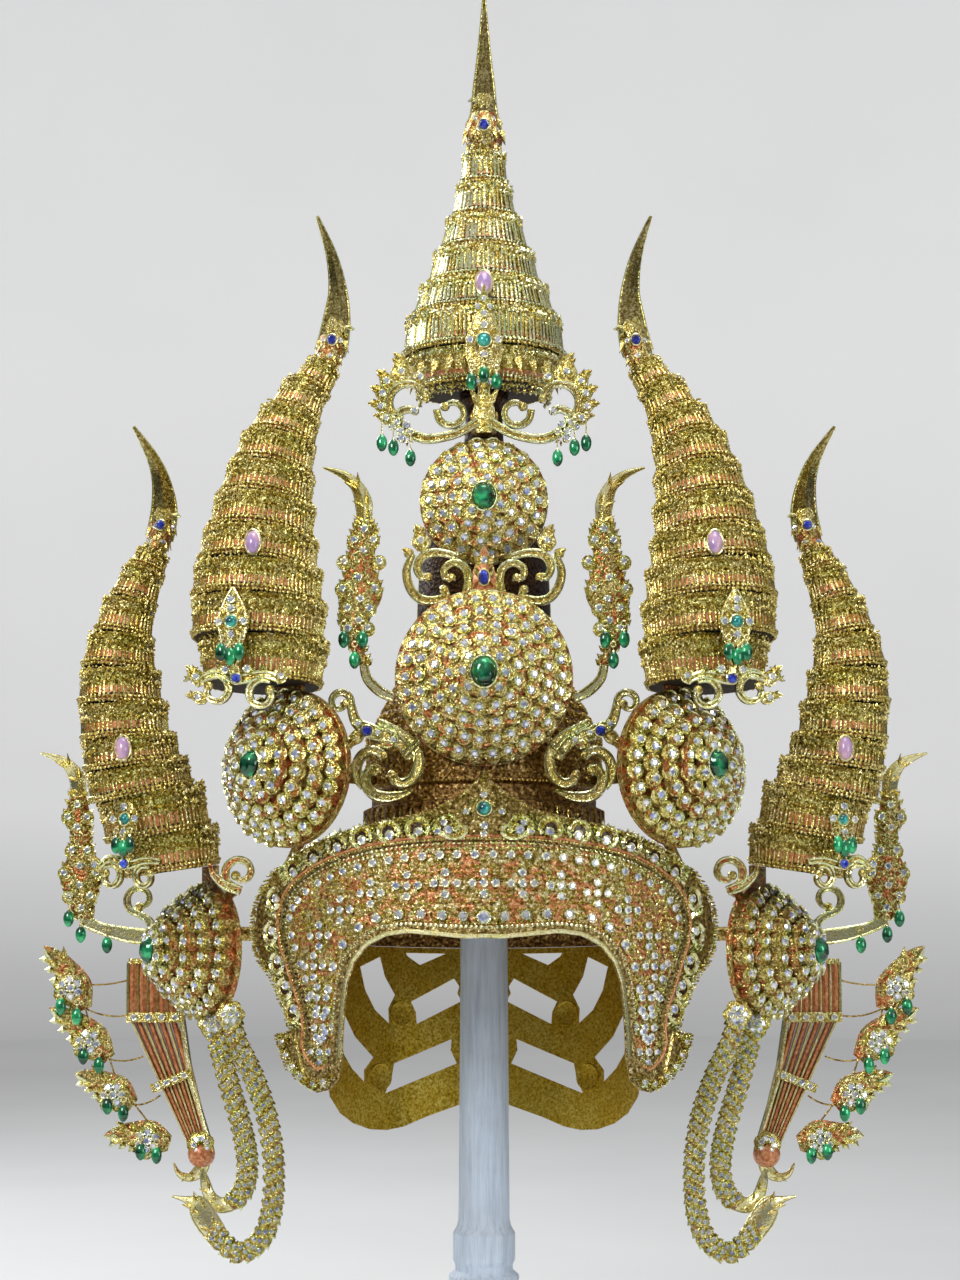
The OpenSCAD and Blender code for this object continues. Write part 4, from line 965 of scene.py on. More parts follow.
for part, plan in scrollFronts.items():
    work = bmesh.new()
    layPlate(work, plan)
    for x, z, aim in plan["sprays"]:
        put(work, "spray" + str(x % 3), onPlate(plan["plate"], x, z, 0.6, aim) @ grow(1, 0.9, 1.3))
    finishPair(part + "ScrollFront", work, part + "_scrolls")

# brackets between the lower rosette and the side units, with their commas set a little behind or before them
linkScroll = {
    "plate": (Matrix(), -72, 4),
    "ground": "leafGold",
    "ribbons": [[[44, 416, 5], [35.3, 424.3, 4]],
                [[40, 414, 6], [48, 424, 6.4], [62, 429, 8.4], [70, 434, 6.4], [73, 444, 5]]],
    "curls": [((79, 445), 6.5, -360, 200, 4.6, 0.55)],
    "bareLeaves": [((66, 429), (75, 418), 8, 0.1), ((57, 410), (64, 402), 5, 0.1)],
    "cups": [(0.2, (0.8, 0.8, 1.2), [(58, 428), (69, 433), (50, 424)])],
}
commas = {
    "left": (0.0, "leafGold", [[57.9, 434.2, 4.2], [50.1, 430.3, 4.8], [42.3, 426.3, 5.2], [36.9, 419.4, 5.8],
                               [35.7, 411.6, 6.2], [37.9, 404.2, 6.2], [43.3, 400.2, 6.0], [48.6, 401.7, 5.6],
                               [50.2, 405.2, 5.2]]),
    "below": (0.5, "leafGold", [[38.9, 396.8, 2], [45.2, 393.8, 5.0], [53.5, 392.6, 6.4], [60.4, 394.3, 6.4],
                                [64.3, 399.3, 6.0], [64.3, 404.7, 5.6], [60.9, 408.4, 5.2],
                                [58.2, 406.9, 4.8]]),
    "right": (-0.5, "leafGold", [[66.7, 397.3, 2.2], [69.2, 403.2, 5.4], [69.4, 410.6, 6.2],
                                 [65.7, 416.5, 6.0], [59.9, 418.4, 5.2], [55.0, 415.5, 4.6]]),
    "upper": (0.6, "salmon", [[57.9, 432.0, 3.6], [51.1, 429.8, 4.6], [49.1, 424.8, 5.0], [51.6, 421.4, 4.8],
                              [55.6, 422.4, 4.4]]),
}
work = bmesh.new()
layPlate(work, linkScroll)
for back, ground, rows in commas.values():
    ribbon(work, (Matrix(), linkScroll["plate"][1] + back, 4), rows, "boss", ground)
finishPair("linkScrollFront", work, "link_scroll")
rosetteScroll = {
    "plate": (Matrix(), -52.5, 5),
    "ground": "leafGold",
    "ribbons": [[[134, 343, 5.4], [142, 346, 5.6], [149, 352, 3.6], [151, 358, 1.4]]],
    "curls": [((134, 353), 10, 420, -90, 5.2)],
}
work = bmesh.new()
layPlate(work, rosetteScroll)
finishPair("outerRosetteScroll", work)
print("scrolls laid")


# small horns at the sides
sideHorns = {
    "inner": {"plate": (Matrix(), -72, 6), "ground": "polishedGold",
              "blade": [[66, 540, 12], [66, 548, 9], [66.5, 556, 10], [70, 565, 7.5], [78, 572, 4.5],
                        [89, 576, 0.8]],
              "body": [[66, 544, 9], [66, 537, 16], [68, 526, 15], [68, 517, 19], [68, 506, 27],
                       [70, 496, 20], [72, 488, 16], [70, 476, 9], [66, 466, 5]],
              "flowers": [(66, 541), (61, 535), (71.5, 535), (57.5, 523), (77, 523), (66.5, 529), (60, 508),
                          (78, 508), (69, 514), (68, 502), (63, 497), (75, 497), (69, 490), (64, 486),
                          (75, 486)],
              "ribbons": [[[66, 466, 5], [64, 458, 5.5], [57, 451, 6], [49.4, 447.4, 5]]]},
    "outer": {"plate": (Matrix(), 16, 6), "ground": "polishedGold",
              "blade": [[232, 398, 11], [232, 406, 9], [233, 413, 9.5], [238, 420, 6.5], [245, 424, 4],
                        [254, 427, 0.8]],
              "body": [[232, 402, 9], [232, 389, 17], [230, 379, 11], [230, 370, 15], [230, 355, 26],
                       [229, 343, 18], [228, 332, 9]],
              "flowers": [(232, 397), (226.5, 390), (237.5, 390), (232, 384), (226, 371), (235, 371),
                          (221, 358), (239, 358), (230, 362), (230, 351), (224, 345), (236, 345),
                          (229, 338)],
              "ribbons": [[[228, 332, 9], [220, 327, 7], [205, 323, 9], [190, 321, 9], [174.4, 317, 6]],
                          [[188, 322, 5], [190, 330, 5], [196, 334.5, 4.4]]],
              "curls": [((196, 343), 8.5, 360, -90, 4.6, 0.5)]},
}


def smallHorn(piece, plan):
    base, front, thick = plan["plate"]
    plateLeaf(piece, plan["plate"], plan["blade"], False, "polishedGold")
    line, points, halves = plateLine(plan["plate"], plan["body"], 5)
    body = stationsOf(points, [h * 0.9 for h in halves], [thick * 0.48] * len(points))
    pour(piece, loft(body, "foliageGround", 12))
    for (x, z, wide), half in list(zip(line, halves))[::2]:
        for side in (-1, 1):
            lobe = facing(x + side * half * 0.74, front + thick * 0.4, z, -side * dice.uniform(30, 52))
            put(piece, "leaf", lobe @ move(0, 1.2, 0) @ grow(1.9, 1.5, 2.6))
            put(piece, "tip", lobe @ move(side * 0.6, -0.6, 1.0) @ grow(0.8, 0.8, 1.5))
            if half > 5:
                layCurls(piece, facing(x + side * half * 0.42, front - 0.2, z + 2.4),
                         ((0, 0, 0), 1.9, 0.6, 90, side * 260, 5, "rimGold"))
    for x, z in plan["flowers"]:
        put(piece, "petalCup", facing(x, front + 0.3, z, -90 + dice.uniform(-20, 20))
            @ turn(6, "Y") @ grow(0.86, 0.86, 1.2))


for part, plan in sideHorns.items():
    work = bmesh.new()
    smallHorn(work, plan)
    layPlate(work, plan)
    finishPair(part + "HornFoliage", work, part + "_horn")
print("small horns set")


# brow band
browBand = {"axisY": 43, "field": 149.6, "crest": 151.6}
bandOuter = [[0, 404], [4, 398], [14, 390], [27, 383], [44, 379], [60, 376], [76, 372.5], [90, 367.5],
             [103, 361], [114, 353.5], [121.5, 344], [125.5, 333], [126.5, 321], [125, 311], [121, 302],
             [116, 296], [112.5, 289], [109, 280], [105, 272], [104, 266], [111.5, 263], [110, 255],
             [105.5, 245], [98, 237], [90, 232], [83, 233.5], [78, 239]]
bandInner = [[0, 314], [9, 313.5], [22, 315], [40, 317], [52, 315.5], [62, 310.5], [69, 302], [73, 291],
             [74.5, 278], [75.5, 264], [76, 250]]
fieldOuter = [[0, 366], [20, 366], [44, 364.5], [62, 362], [78, 358], [91, 352.5], [101, 346], [108, 337],
              [110.5, 326], [109, 314], [105, 302], [101, 290], [97, 279], [95, 268], [96, 258], [92, 250],
              [87, 246], [83, 250]]
fieldInner = [[0, 319.5], [20, 320.5], [40, 322], [55, 320.5], [66, 315], [74.5, 305], [78.5, 291], [80, 276],
              [81, 262]]
clusters = [[0, 343], [20.5, 343], [41, 342], [60.5, 338.5], [77, 330], [88.5, 316.5], [91.5, 300],
            [89.5, 283], [86, 267], [88, 253.8]]


def unrolled(points):
    return [(browBand["field"] * math.asin(x / browBand["field"]), z) for x, z in points]


def onBand(s, z, out=0.0, crest=False):
    reach = browBand["crest" if crest else "field"]
    return (move(0, browBand["axisY"], z) @ Matrix.Rotation(s / browBand["field"], 4, "Z")
            @ facing(0, -reach - out, 0))


def walk(points, pitch, inset=0.0, offset=0.5):
    # places at an even pitch along a line, moved to its right by inset, with the way the line runs
    out, carried = [], pitch * offset
    for (x0, z0), (x1, z1) in zip(points, points[1:]):
        long = math.hypot(x1 - x0, z1 - z0)
        dx, dz = (x1 - x0) / long, (z1 - z0) / long
        aim = math.degrees(math.atan2(dz, dx))
        while carried <= long:
            out.append((x0 + dx * carried + dz * inset, z0 + dz * carried - dx * inset, aim))
            carried += pitch
        carried -= long
    return out


def within(s, z, ring):
    # whether a place on the unrolled band is inside a closed line
    odd = False
    for (s0, z0), (s1, z1) in zip(ring, ring[1:] + ring[:1]):
        if (z0 > z) != (z1 > z) and s < s0 + (s1 - s0) * (z - z0) / (z1 - z0):
            odd = not odd
    return odd


fieldPlan = {"columns": 52, "across": 3.3, "rows": 46, "up": 3.2, "foot": 240, "clear": 2.9, "bare": 0.12}
crestPlan = {"pitch": 15.6, "cells": 14}
work, half = bmesh.new(), bmesh.new()
outer, inner, top, lip = (unrolled(line) for line in (fieldOuter, fieldInner, bandOuter, bandInner))
field = outer + inner[::-1]
taken = []


def setDiamond(s, z, size, out=0.25):
    # those on the middle line are set once, the others on both sides
    put(work if abs(s) < 0.1 else half, "cup", onBand(s, z, out) @ grow(size, size, 1.1))
    taken.append((s, z))


# rows of beads along the edges of the field: pitch, inset, lift, size and whether they sit on the crest
beadRows = [(outer, 2.9, 1.3, "brightBead", 0.5, (1.15, 1.15, 1.495), False),
            (outer, 2.9, 4.1, "brightBead", 0.5, (1.05, 1.05, 1.365), False),
            (inner, 2.7, 0.4, "brightBead", 1.9, (1.1, 1.1, 1.0), False),
            (inner, 1.9, -1.4, "bead", 0.4, (0.7, 0.7, 0.7), False),
            (outer, 1.9, -0.9, "bead", 0.1, (0.8, 0.8, 0.8), True)]
for line, pitch, inset, stamp, out, size, crest in beadRows:
    for s, z, aim in walk(line, pitch, inset):
        put(half, stamp, onBand(s, z, out, crest) @ grow(*size))
for s, z, aim in walk(outer[:15], 9.6, 7.6):
    setDiamond(s, z, 0.98)
for s, z, aim in walk(inner, 11.4, -5.2, 0):
    setDiamond(s, z, 1.5 if s < 1 else 1.12)
for s, z in unrolled(clusters):
    for ds, dz in ((0, 0), (6.2, 0), (-6.2, 0), (0, 5.8), (0, -5.8)):
        if s + ds > -0.1 and within(s + ds, z + dz, field):
            setDiamond(s + ds, z + dz, 0.95)
# chased tufts over the field, clear of the diamonds
for column in range(fieldPlan["columns"]):
    for row in range(fieldPlan["rows"]):
        s = fieldPlan["across"] * (column + 0.5 * (row % 2)) + dice.uniform(-0.6, 0.6) + 1
        z = fieldPlan["foot"] + fieldPlan["up"] * row + dice.uniform(-0.6, 0.6)
        if dice.random() < fieldPlan["bare"] or not within(s, z, field):
            continue
        if min(math.hypot(s - a, z - b) for a, b in taken) > fieldPlan["clear"]:
            put(half, "tuft", onBand(s, z - 1.2, 0.05) @ turn(dice.uniform(-50, 50), "Z")
                @ grow(dice.uniform(0.9, 1.2), dice.uniform(0.8, 1.2), dice.uniform(0.9, 1.5)))
# crest cells: a curled leaf round a near-black disc, painted shade for a hollow, with a stone at its foot,
# leaf strokes between
for s, z, aim in walk(outer[:crestPlan["cells"]], crestPlan["pitch"], -7.6, 1.25):
    here = onBand(s, z, 0.1, True) @ turn(aim, "Z")
    pour(half, ringed(here @ move(0, 0.6, 0), [(0, 5.0, 4.4), (0.3, 5.0, 4.4)], "hollowShade", 12))
    layCurls(half, here @ grow(1.0, 0.9, 1), ((0, 0, 0.7), 5.9, 1.25, -80, 300, 13, "rimGold"),
             ((0, 0, 0.8), 4.1, 0.6, -30, 220, 9), ((3.9, -2.6, 1.0), 1.8, 0.75, 90, -250, 6, "rimGold"))
    put(half, "cup", here @ move(-0.8, -2.2, 0.6) @ grow(1.1, 1.1, 1))
    for k in range(4):
        put(half, "brightLeaf", here @ move(7.9 + 0.3 * k, -3.9 + 2.5 * k, 0.2) @ turn(58 - 6 * k, "Z")
            @ grow(0.85, 1.4, 2.4))
        put(half, "brightLeaf", here @ move(-4.0 + 3.2 * k, 6.2 - 0.4 * k, 0.2) @ turn(10 - 20 * k, "Z")
            @ grow(1.1, 1.0, 2.2))
# sprays along the top edge, and more of them on the end of the flap
for line, pitch, inset, sway, drop, tall in ((top, 4.0, 2.4, 25, 2.4, 0.75),
                                             (top[19:], 5.2, 5.0, 40, 2.0, 0.8)):
    for s, z, aim in walk(line, pitch, inset):
        put(half, anySpray(), onBand(s, z, 0, True) @ turn(aim + dice.uniform(-sway, sway), "Z")
            @ move(0, -drop, 0) @ grow(0.9, tall, 2.0))
for s, z, aim in walk(top[20:], 9.5, 4.2):
    put(half, "cup", onBand(s, z, 0.6, True) @ grow(0.9, 0.9, 1))
# striated leaf on the end of the flap
for k in range(7):
    put(half, "leaf", onBand(102.5 + 1.3 * k, 236.5 + 4.0 * k, 0, True) @ turn(-38 + 5 * k, "Z")
        @ grow(1.1, 2.0, 1.8))
# rolled lip inside, thin reddish line outside the field
for line, finish, size, inset in ((lip, "polishedGold", 1.3, -0.9), (outer, "salmon", 0.7, -2.2)):
    points = [onBand(s, z, 0.0, True).translation for s, z, aim in walk(line, 3.5, inset, 0.02)]
    stations = []
    for i, p in enumerate(points):
        near = [points[max(i - 1, 0)], p, points[min(i + 1, len(points) - 1)]]
        outwards = Vector((p.x, p.y - browBand["axisY"], 0)).normalized()
        stations.append(stationsOf(near, [size] * 3, [size] * 3, outwards)[1])
    pour(half, loft(stations, finish, 8))
mirrorInto(work, half)
# pediment: petals round the teal stone and a flame above it
for k in range(10):
    put(work, "brightLeaf", facing(0, -108.6, 383, 36 * k) @ move(0, 5.8, -0.4) @ grow(1.6, 1.3, 2.6))
pedimentSprays = [(8, 379, -40), (13, 377, -55), (6, 388, -20), (11, 384, -45), (17, 381, -60),
                  (23, 378.5, -68), (29, 376.5, -74), (35, 375, -78), (24, 372, -75), (5, 371, -20),
                  (31, 371, -80)]
for side in (-1, 1):
    for x, z, aim in pedimentSprays:
        put(work, "spray" + str(x % 3), onBand(side * x, z - 3, 0, True) @ turn(side * aim, "Z")
            @ grow(1.0, 0.7, 2.3))
    layCurls(work, onBand(side * 15.5, 370.8, 0, True) @ grow(side * 1.25, 0.85, 1),
             ((0, 0, 0.8), 4.6, 1.2, 60, 300, 13, "rimGold"), ((0, 0, 0.8), 2.2, 0.8, 60, 240, 8))
for x, z, size in ((9.5, 381, 0.8), (21, 375.5, 0.8), (24.5, 370.6, 0.9), (-9.5, 381, 0.8), (-21, 375.5, 0.8),
                   (-24.5, 370.6, 0.9), (0, 390, 0.8), (0, 373.5, 0.9), (0, 369, 0.8)):
    put(work, "cup", onBand(x, z, 0.4, True) @ grow(size, size, 1.1))
put(work, "brightLeaf", onBand(0, 396.5, 0, True) @ grow(2.2, 2.5, 2.6))
finishPiece("browBandJewels", work, ["brow_clear_stones"])
print("brow band jewelled")


# discs on the neck guard, on its outer and inner wall
work = bmesh.new()
for x, z, radius in ((48.8, 280.9, 7.5), (60.7, 243.7, 8)):
    for side in (-1, 1):
        for wall, face, out in ((100.5, 90, 0.9), (103.5, -90, 1.0)):
            spin = -side * math.degrees(math.asin(x / wall))
            addDisc(work, radius, radius - 0.4, out + 0.5, 28, "guardGold",
                    turn(spin, "Z") @ move(0, wall, z) @ turn(face, "X") @ move(0, 0, -0.5), 1.2, -0.3)
finishPiece("neckGuardDiscs", work, ())
print("neck guard discs set")


# body relief and comb
body = {
    "wall": 65.6, "wallRows": (404, 408.8, 413.6, 418.4, 423.2, 427.4), "wallSprays": 80,
    # height, radius and sprays of the shoulder's rows, then height and radius of the rows of beads
    "shoulder": ((434.5, 63.2, 76), (440, 60.8, 74), (446, 57.8, 70), (451.5, 54.8, 66), (456.5, 52.4, 62)),
    "slope": 28, "beads": ((403, 66.2), (432.4, 66.2), (465, 47.8)), "beadPitch": 2.4,
    # radius and height down the edge of the dark column
    "columnEdge": ((41.6, 471), (38.3, 481), (37.3, 510), (36.3, 530), (34.9, 546), (32.8, 556)),
    "pleats": 108, "combRadius": 67.2, "combHeight": 385.8,
}
work = bmesh.new()
for row, z in enumerate(body["wallRows"]):
    for k in range(body["wallSprays"]):
        put(work, anySpray(), onWall(360 * (k + 0.5 * (row % 2)) / body["wallSprays"], body["wall"], z)
            @ turn(dice.uniform(-20, 20), "Z") @ grow(1.0, 0.8, dice.uniform(0.8, 1.3)))
for z, radius, count in body["shoulder"]:
    for k in range(count):
        put(work, anySpray(), onWall(360 * (k + dice.uniform(0, 0.4)) / count, radius, z, body["slope"])
            @ turn(dice.uniform(-20, 20), "Z") @ grow(1.0, 0.95, dice.uniform(0.9, 1.4)))
for z, radius in body["beads"]:
    ringOf(work, "bead", round(math.tau * radius / body["beadPitch"]), move(0, 0, z), radius, 0, 0, 1.1)
paint(work, "deepGold")
# gold threads down the edges of the dark column
for side in (-1, 1):
    pour(work, rod([Vector((side * (r + 0.2), 1.0, z)) for r, z in body["columnEdge"]], 0.55, "rimGold"))
for k in range(body["pleats"]):
    put(work, "leaf", onWall(360 * k / body["pleats"], body["combRadius"], body["combHeight"])
        @ grow(0.85, 2.1, 1.5))
finishPiece("bodyRelief", work, ())
print("body chased")


# strands: the line of each core, the y of its end leaf and that leaf's rows
strands = {
    "strand_front": ([[140, -33, 277.1, 4], [137, -32, 262, 4.2], [128, -30, 243, 4.2], [120, -28, 220, 4.2],
                      [116, -27, 194, 4.2], [117, -26, 168, 4.2], [123, -25, 152, 4.2], [134, -25, 145, 4.2],
                      [143, -25, 150, 4.2], [150, -25, 159, 3.8]], -27,
                     [[146, 153, 12], [153, 163, 14], [158, 171, 12], [164, 174, 4], [172, 176, 1]]),
    "strand_back": ([[151, -20, 272.6, 4], [147, -20, 258, 4.2], [141, -19, 236, 4.2], [134, -18, 212, 4.2],
                     [131, -17, 192, 4.2], [134, -16, 178, 4.2], [141, -16, 171, 3.8]], -18,
                    [[138, 173, 9], [146, 171, 9], [152, 176, 7], [155, 185, 5], [156, 191, 1]]),
}
strandNames = {"strand_front": "frontStrandStones", "strand_back": "backStrandStones"}
strandPlan = {"pitch": 4.7, "spread": 3.1, "edgeOut": 3.2, "middleOut": 3.8, "tipOut": 3.9}
for node, (rows, front, tail) in strands.items():
    work = bmesh.new()
    line = spline(rows, 8)
    points = [Vector(p[:3]) for p in line]
    core = stationsOf(points, [p[3] for p in line], [p[3] * 0.72 for p in line])
    pour(work, loft(core, "strandGround", 12))
    gone = 0.0
    for i in range(1, len(points) - 1):
        gone += (points[i] - points[i - 1]).length
        if gone < strandPlan["pitch"]:
            continue
        gone = 0.0
        here = stationsOf(points[i - 1:i + 2], [1] * 3, [1] * 3)[1]
        for back in (1, -1):
            for side in (-strandPlan["spread"], 0.0, strandPlan["spread"]):
                out = strandPlan["edgeOut" if side else "middleOut"]
                put(work, "petalCup", here @ facing(side, -back * out, side * 0.5, 90 + side * 7, back)
                    @ grow(0.6, 0.6, 1.0))
        for side in (-1, 1):
            put(work, "tip", here @ facing(side * strandPlan["tipOut"], 0, 0, -side * 60)
                @ grow(1.1, 0.6, 2.2))
    # flower and leaves at the top
    x, y, z = points[0]
    for k in range(6):
        put(work, "petalCup", facing(x, y - 4.4, z - 1.5, 60 * k) @ move(3.6, 0, 0) @ turn(14, "Y")
            @ grow(0.8, 0.8, 1))
    put(work, "cup", facing(x, y - 4.6, z - 1.5) @ grow(0.9, 0.9, 1.2))
    for aim in (-64, -32, 0, 32, 64):
        put(work, "leaf", facing(x, y - 3.4, z - 0.5, aim) @ move(0, 3.2, 0) @ grow(1.9, 1.7, 2.2))
    plateLeaf(work, (Matrix(), front, 4), tail, False, "polishedGold")
    finishPair(strandNames[node], work, node)
print("strands plaited")


# ribbed pendants: lacquered ribs in a cage above the cap, a fan below it with a strap, a clasp and a ball
capX, ribY = 179.7, 16.7
pendant = {"pitch": 5.6, "rib": [(278, 2.6, 5.4), (283, 3.0, 5.4), (302, 3.0, 5.4), (308, 2.0, 5.4)],
           "bar": [(278, 0.95, 1.2), (307, 0.95, 1.2)], "barOut": 3.6,
           # foot, top and overhang of the two caps, and their half width and depth
           "caps": ((273, 278.6, 0), (306, 309, -1.5)), "capHalf": (16.3, 6.5),
           "fanTop": (capX - 7, capX + 20, 274.5), "fanFoot": (155, 167, 205), "ball": (159.5, 199)}
# gold ridges with lacquered ribs between: half width, half depth, sides and finish
fanRibs = ((1.15, 4.6, 6, "ridgeGold"), (1.8, 3.6, 8, "salmon"))
work = bmesh.new()
for i in range(5):
    pour(work, ringed(move(capX - 3.4 + pendant["pitch"] * i, ribY, 0), pendant["rib"], "salmon", 10))
for i in range(6):
    for side in (-pendant["barOut"], pendant["barOut"]):
        bar = move(capX - 6 + pendant["pitch"] * i, ribY + side, 0)
        pour(work, ringed(bar, pendant["bar"], "rimGold", 6))
for low, high, out in pendant["caps"]:
    wide, deep = (half * root2 + out for half in pendant["capHalf"])
    rings = [(low, wide, deep), (high, wide, deep)]
    pour(work, ringed(move(capX + 6.3, ribY, 0), rings, "leafGold", 4, math.pi / 4))
for i in range(9):
    (topLeft, topRight, top), (lowLeft, lowRight, low) = pendant["fanTop"], pendant["fanFoot"]
    a = Vector((topLeft + (topRight - topLeft) * i / 8, ribY, top))
    b = Vector((lowLeft + (lowRight - lowLeft) * i / 8, ribY, low))
    wide, deep, sides, finish = fanRibs[i % 2]
    rib = stationsOf([a, a.lerp(b, 0.5), b], [wide, wide * 0.8, wide * 0.6], [deep, deep * 0.8, deep * 0.55])
    pour(work, loft(rib, finish, sides, math.pi / sides))
strap = [Vector((capX - 8.5, ribY, 274)), Vector((166, ribY, 240)), Vector((154.4, ribY, 204))]
pour(work, loft(stationsOf(strap, [2.2, 2.0, 1.7], [4.8, 4.2, 3.0]), "polishedGold", 10))
clasp = move(176.5, ribY, 240) @ turn(22, "Y")
pour(work, ringed(clasp, [(z, 12 * root2, 6 * root2) for z in (-2.5, 2.5)], "leafGold", 4, math.pi / 4))
ballX, ballZ = pendant["ball"]
for back in (1, -1):
    for x in (-8, -2.7, 2.7, 8):
        put(work, "cup", clasp @ facing(x, -back * 6, 0, 0, back) @ grow(0.8, 0.8, 1))
    for x in (-8, 0, 8, 16):
        put(work, "cup", facing(capX + 2.3 + x, ribY - back * 6.4, 275.8, 0, back) @ grow(0.85, 0.85, 1))
    pour(work, dome(15.6, 15.6, 7.8, "salmon", facing(ballX, ribY, ballZ, 0, back)))
for k in range(7):
    put(work, "petalCup", facing(ballX, ribY - 5.2, ballZ + 5, 360 * k / 7) @ move(3.6, 0, 0)
        @ turn(20, "Y") @ grow(0.78, 0.78, 1))
ballLeaf = [[158, 196, 8], [160, 190, 8], [166, 186, 5], [172, 188, 3], [175, 194, 0.8]]
plateLeaf(work, (Matrix(), ribY - 2.5, 5), ballLeaf, False, "polishedGold")
finishPair("ribbedFan", work, "ribbed_pendant")
print("ribbed pendants set")


# flame pendants on their wires: foot and tip of each
flames = [[(226, 280), (250, 316)], [(212, 252), (246, 281)], [(198, 226), (231, 244)],
          [(177, 205), (214, 209)]]
work = bmesh.new()
for foot, tip in flames:
    plateLeaf(work, (Matrix(), 10, 5), leafRows(foot, tip, 20, 0.08), False, "foliageGround")
    a, b = Vector(foot), Vector(tip)
    aim = math.degrees(math.atan2(b.y - a.y, b.x - a.x)) - 90
    x, z = a.lerp(b, 0.34)
    for back in (1, -1):
        y = 12.5 - back * 2.0
        for k in range(6):
            put(work, "petalCup", facing(x, y, z, 60 * k + aim * back, back) @ move(4.9, 0, 0)
                @ turn(12, "Y") @ grow(0.98, 0.98, 1.1))
        put(work, "petalCup", facing(x, y - 0.4 * back, z, 0, back) @ grow(1.0, 1.0, 1.2))
    x, z = a.lerp(b, 0.86)
    put(work, "brightLeaf", facing(x, 10.4, z, aim) @ grow(2.4, 2.6, 2.4))
    for k in range(5):
        x, z = a.lerp(b, 0.1 + 0.17 * k)
        for side in (-1, 1):
            put(work, "tip", facing(x, 11.6, z, aim - side * 50) @ move(0, 6.2 - 1.2 * k, 0)
                @ grow(1.5, 1.1, 2.4))


def wire(piece, a, b, sag):
    a, b = Vector(a), Vector(b)
    spots = [a.lerp(b, t / 10) - Vector((0, 0, sag * 4 * (t / 10) * (1 - t / 10))) for t in range(11)]
    pour(piece, rod(spots, 0.55, "deepGold"))


for (foot, tip), (nextFoot, nextTip) in zip(flames, flames[1:]):
    wire(work, (foot[0], 12.5, foot[1] + 2), (nextFoot[0] + 6, 12.5, nextFoot[1] + 4), 0)
for a, b in (((234, 12.5, 296), (capX + 22.5, ribY, 297)), ((227, 12.5, 281.5), (capX + 22.9, ribY, 277)),
             ((214, 12.5, 253), (193, ribY, 254)), ((200, 12.5, 227), (183, ribY, 232))):
    wire(work, a, b, 2.2)
finishPair("flamePendantStones", work, "flame_chain")
print("flame pendants hung")


# drops, opals and coloured stones
ovalRings = [(0.0, 0.2), (0.07, 0.5), (0.2, 0.82), (0.4, 1.0), (0.6, 1.0), (0.8, 0.82), (0.93, 0.5),
             (1.0, 0.2)]


def drop(piece, where, link, long=9.6):
    # ring, link, bead and a smooth oval
    pour(piece, collar(3.0, 3.0, 0.4, "polishedGold", where @ facing(0, 0, -1.4), 10))
    pour(piece, ringed(where, [(-3.6 - link, 0.45), (-2.4, 0.45)], "polishedGold", 6))
    top = where @ move(0, 0, -3.4 - link)
    put(piece, "brightBead", top)
    pour(piece, ringed(top, [(-z * long, 3.0 * s, 1.9 * s) for z, s in ovalRings], "greenGlass", 14))


# x, z and the link of each drop
dropRows = {"centre": [[41, 600.5, 8], [50.5, 607.5, 9], [57, 610, 9], [-41, 600.5, 8], [-50.5, 607.5, 9],
                       [-57, 610, 9], [-7, 637, 1], [0, 642, 2], [7, 637, 1]],
            "mid": [[0, 474.5, 1], [5, 472, 1], [10, 474.5, 1]],
            "outer": [[-2.5, 376, 1], [2, 374, 1], [6.5, 376, 1]],
            "horn": [[66.5, 489.5, 2], [71, 478, 2], [77, 489.5, 2]],
            "tail": [[236, 345, 5], [229, 334, 3], [214, 328, 3]],
            "flame": [[230, 285.5, 1], [239, 291, 1], [217, 258, 1], [226, 263, 1], [203, 231, 1],
                      [212, 235, 1], [184, 207.5, 1], [193, 209.5, 1]]}
# frame and y of the face that each row hangs on
dropPlaces = {"centre": (Matrix(), -54.6), "mid": (frontFrames["mid"][0], frontFrames["mid"][1] - 6),
              "outer": (frontFrames["outer"][0], frontFrames["outer"][1] - 6),
              "horn": (Matrix(), -74), "tail": (Matrix(), 14), "flame": (Matrix(), 8)}
centreWork, sideWork = bmesh.new(), bmesh.new()
for key, rows in dropRows.items():
    base, y = dropPlaces[key]
    for x, z, link in rows:
        drop(centreWork if key == "centre" else sideWork, base @ move(x, y, z), link)
finishPiece("centreDrops", centreWork, ["centre_drops"])
finishPair("sideDrops", sideWork, "side_drops")


def onSpire(name, z, spin, tilt, off, rows):
    # a place on the front of a side spire or horn at a height
    out = lookup(z, [(r[1], r[0]) for r in rows])
    radius = lookup(z, [(r[1], r[2]) for r in rows])
    yaw = math.radians(sideUnits[name]["yaw"])
    x, y = sideUnits[name]["at"]
    return (move(x + out * math.sin(yaw), y - out * math.cos(yaw), z) @ turn(spin, "Z")
            @ move(0, -radius - off, 0) @ turn(90 - tilt, "X"))


def onFront(key, x, z):
    base, face = frontFrames[key]
    return base @ facing(x, face - 4.3, z)


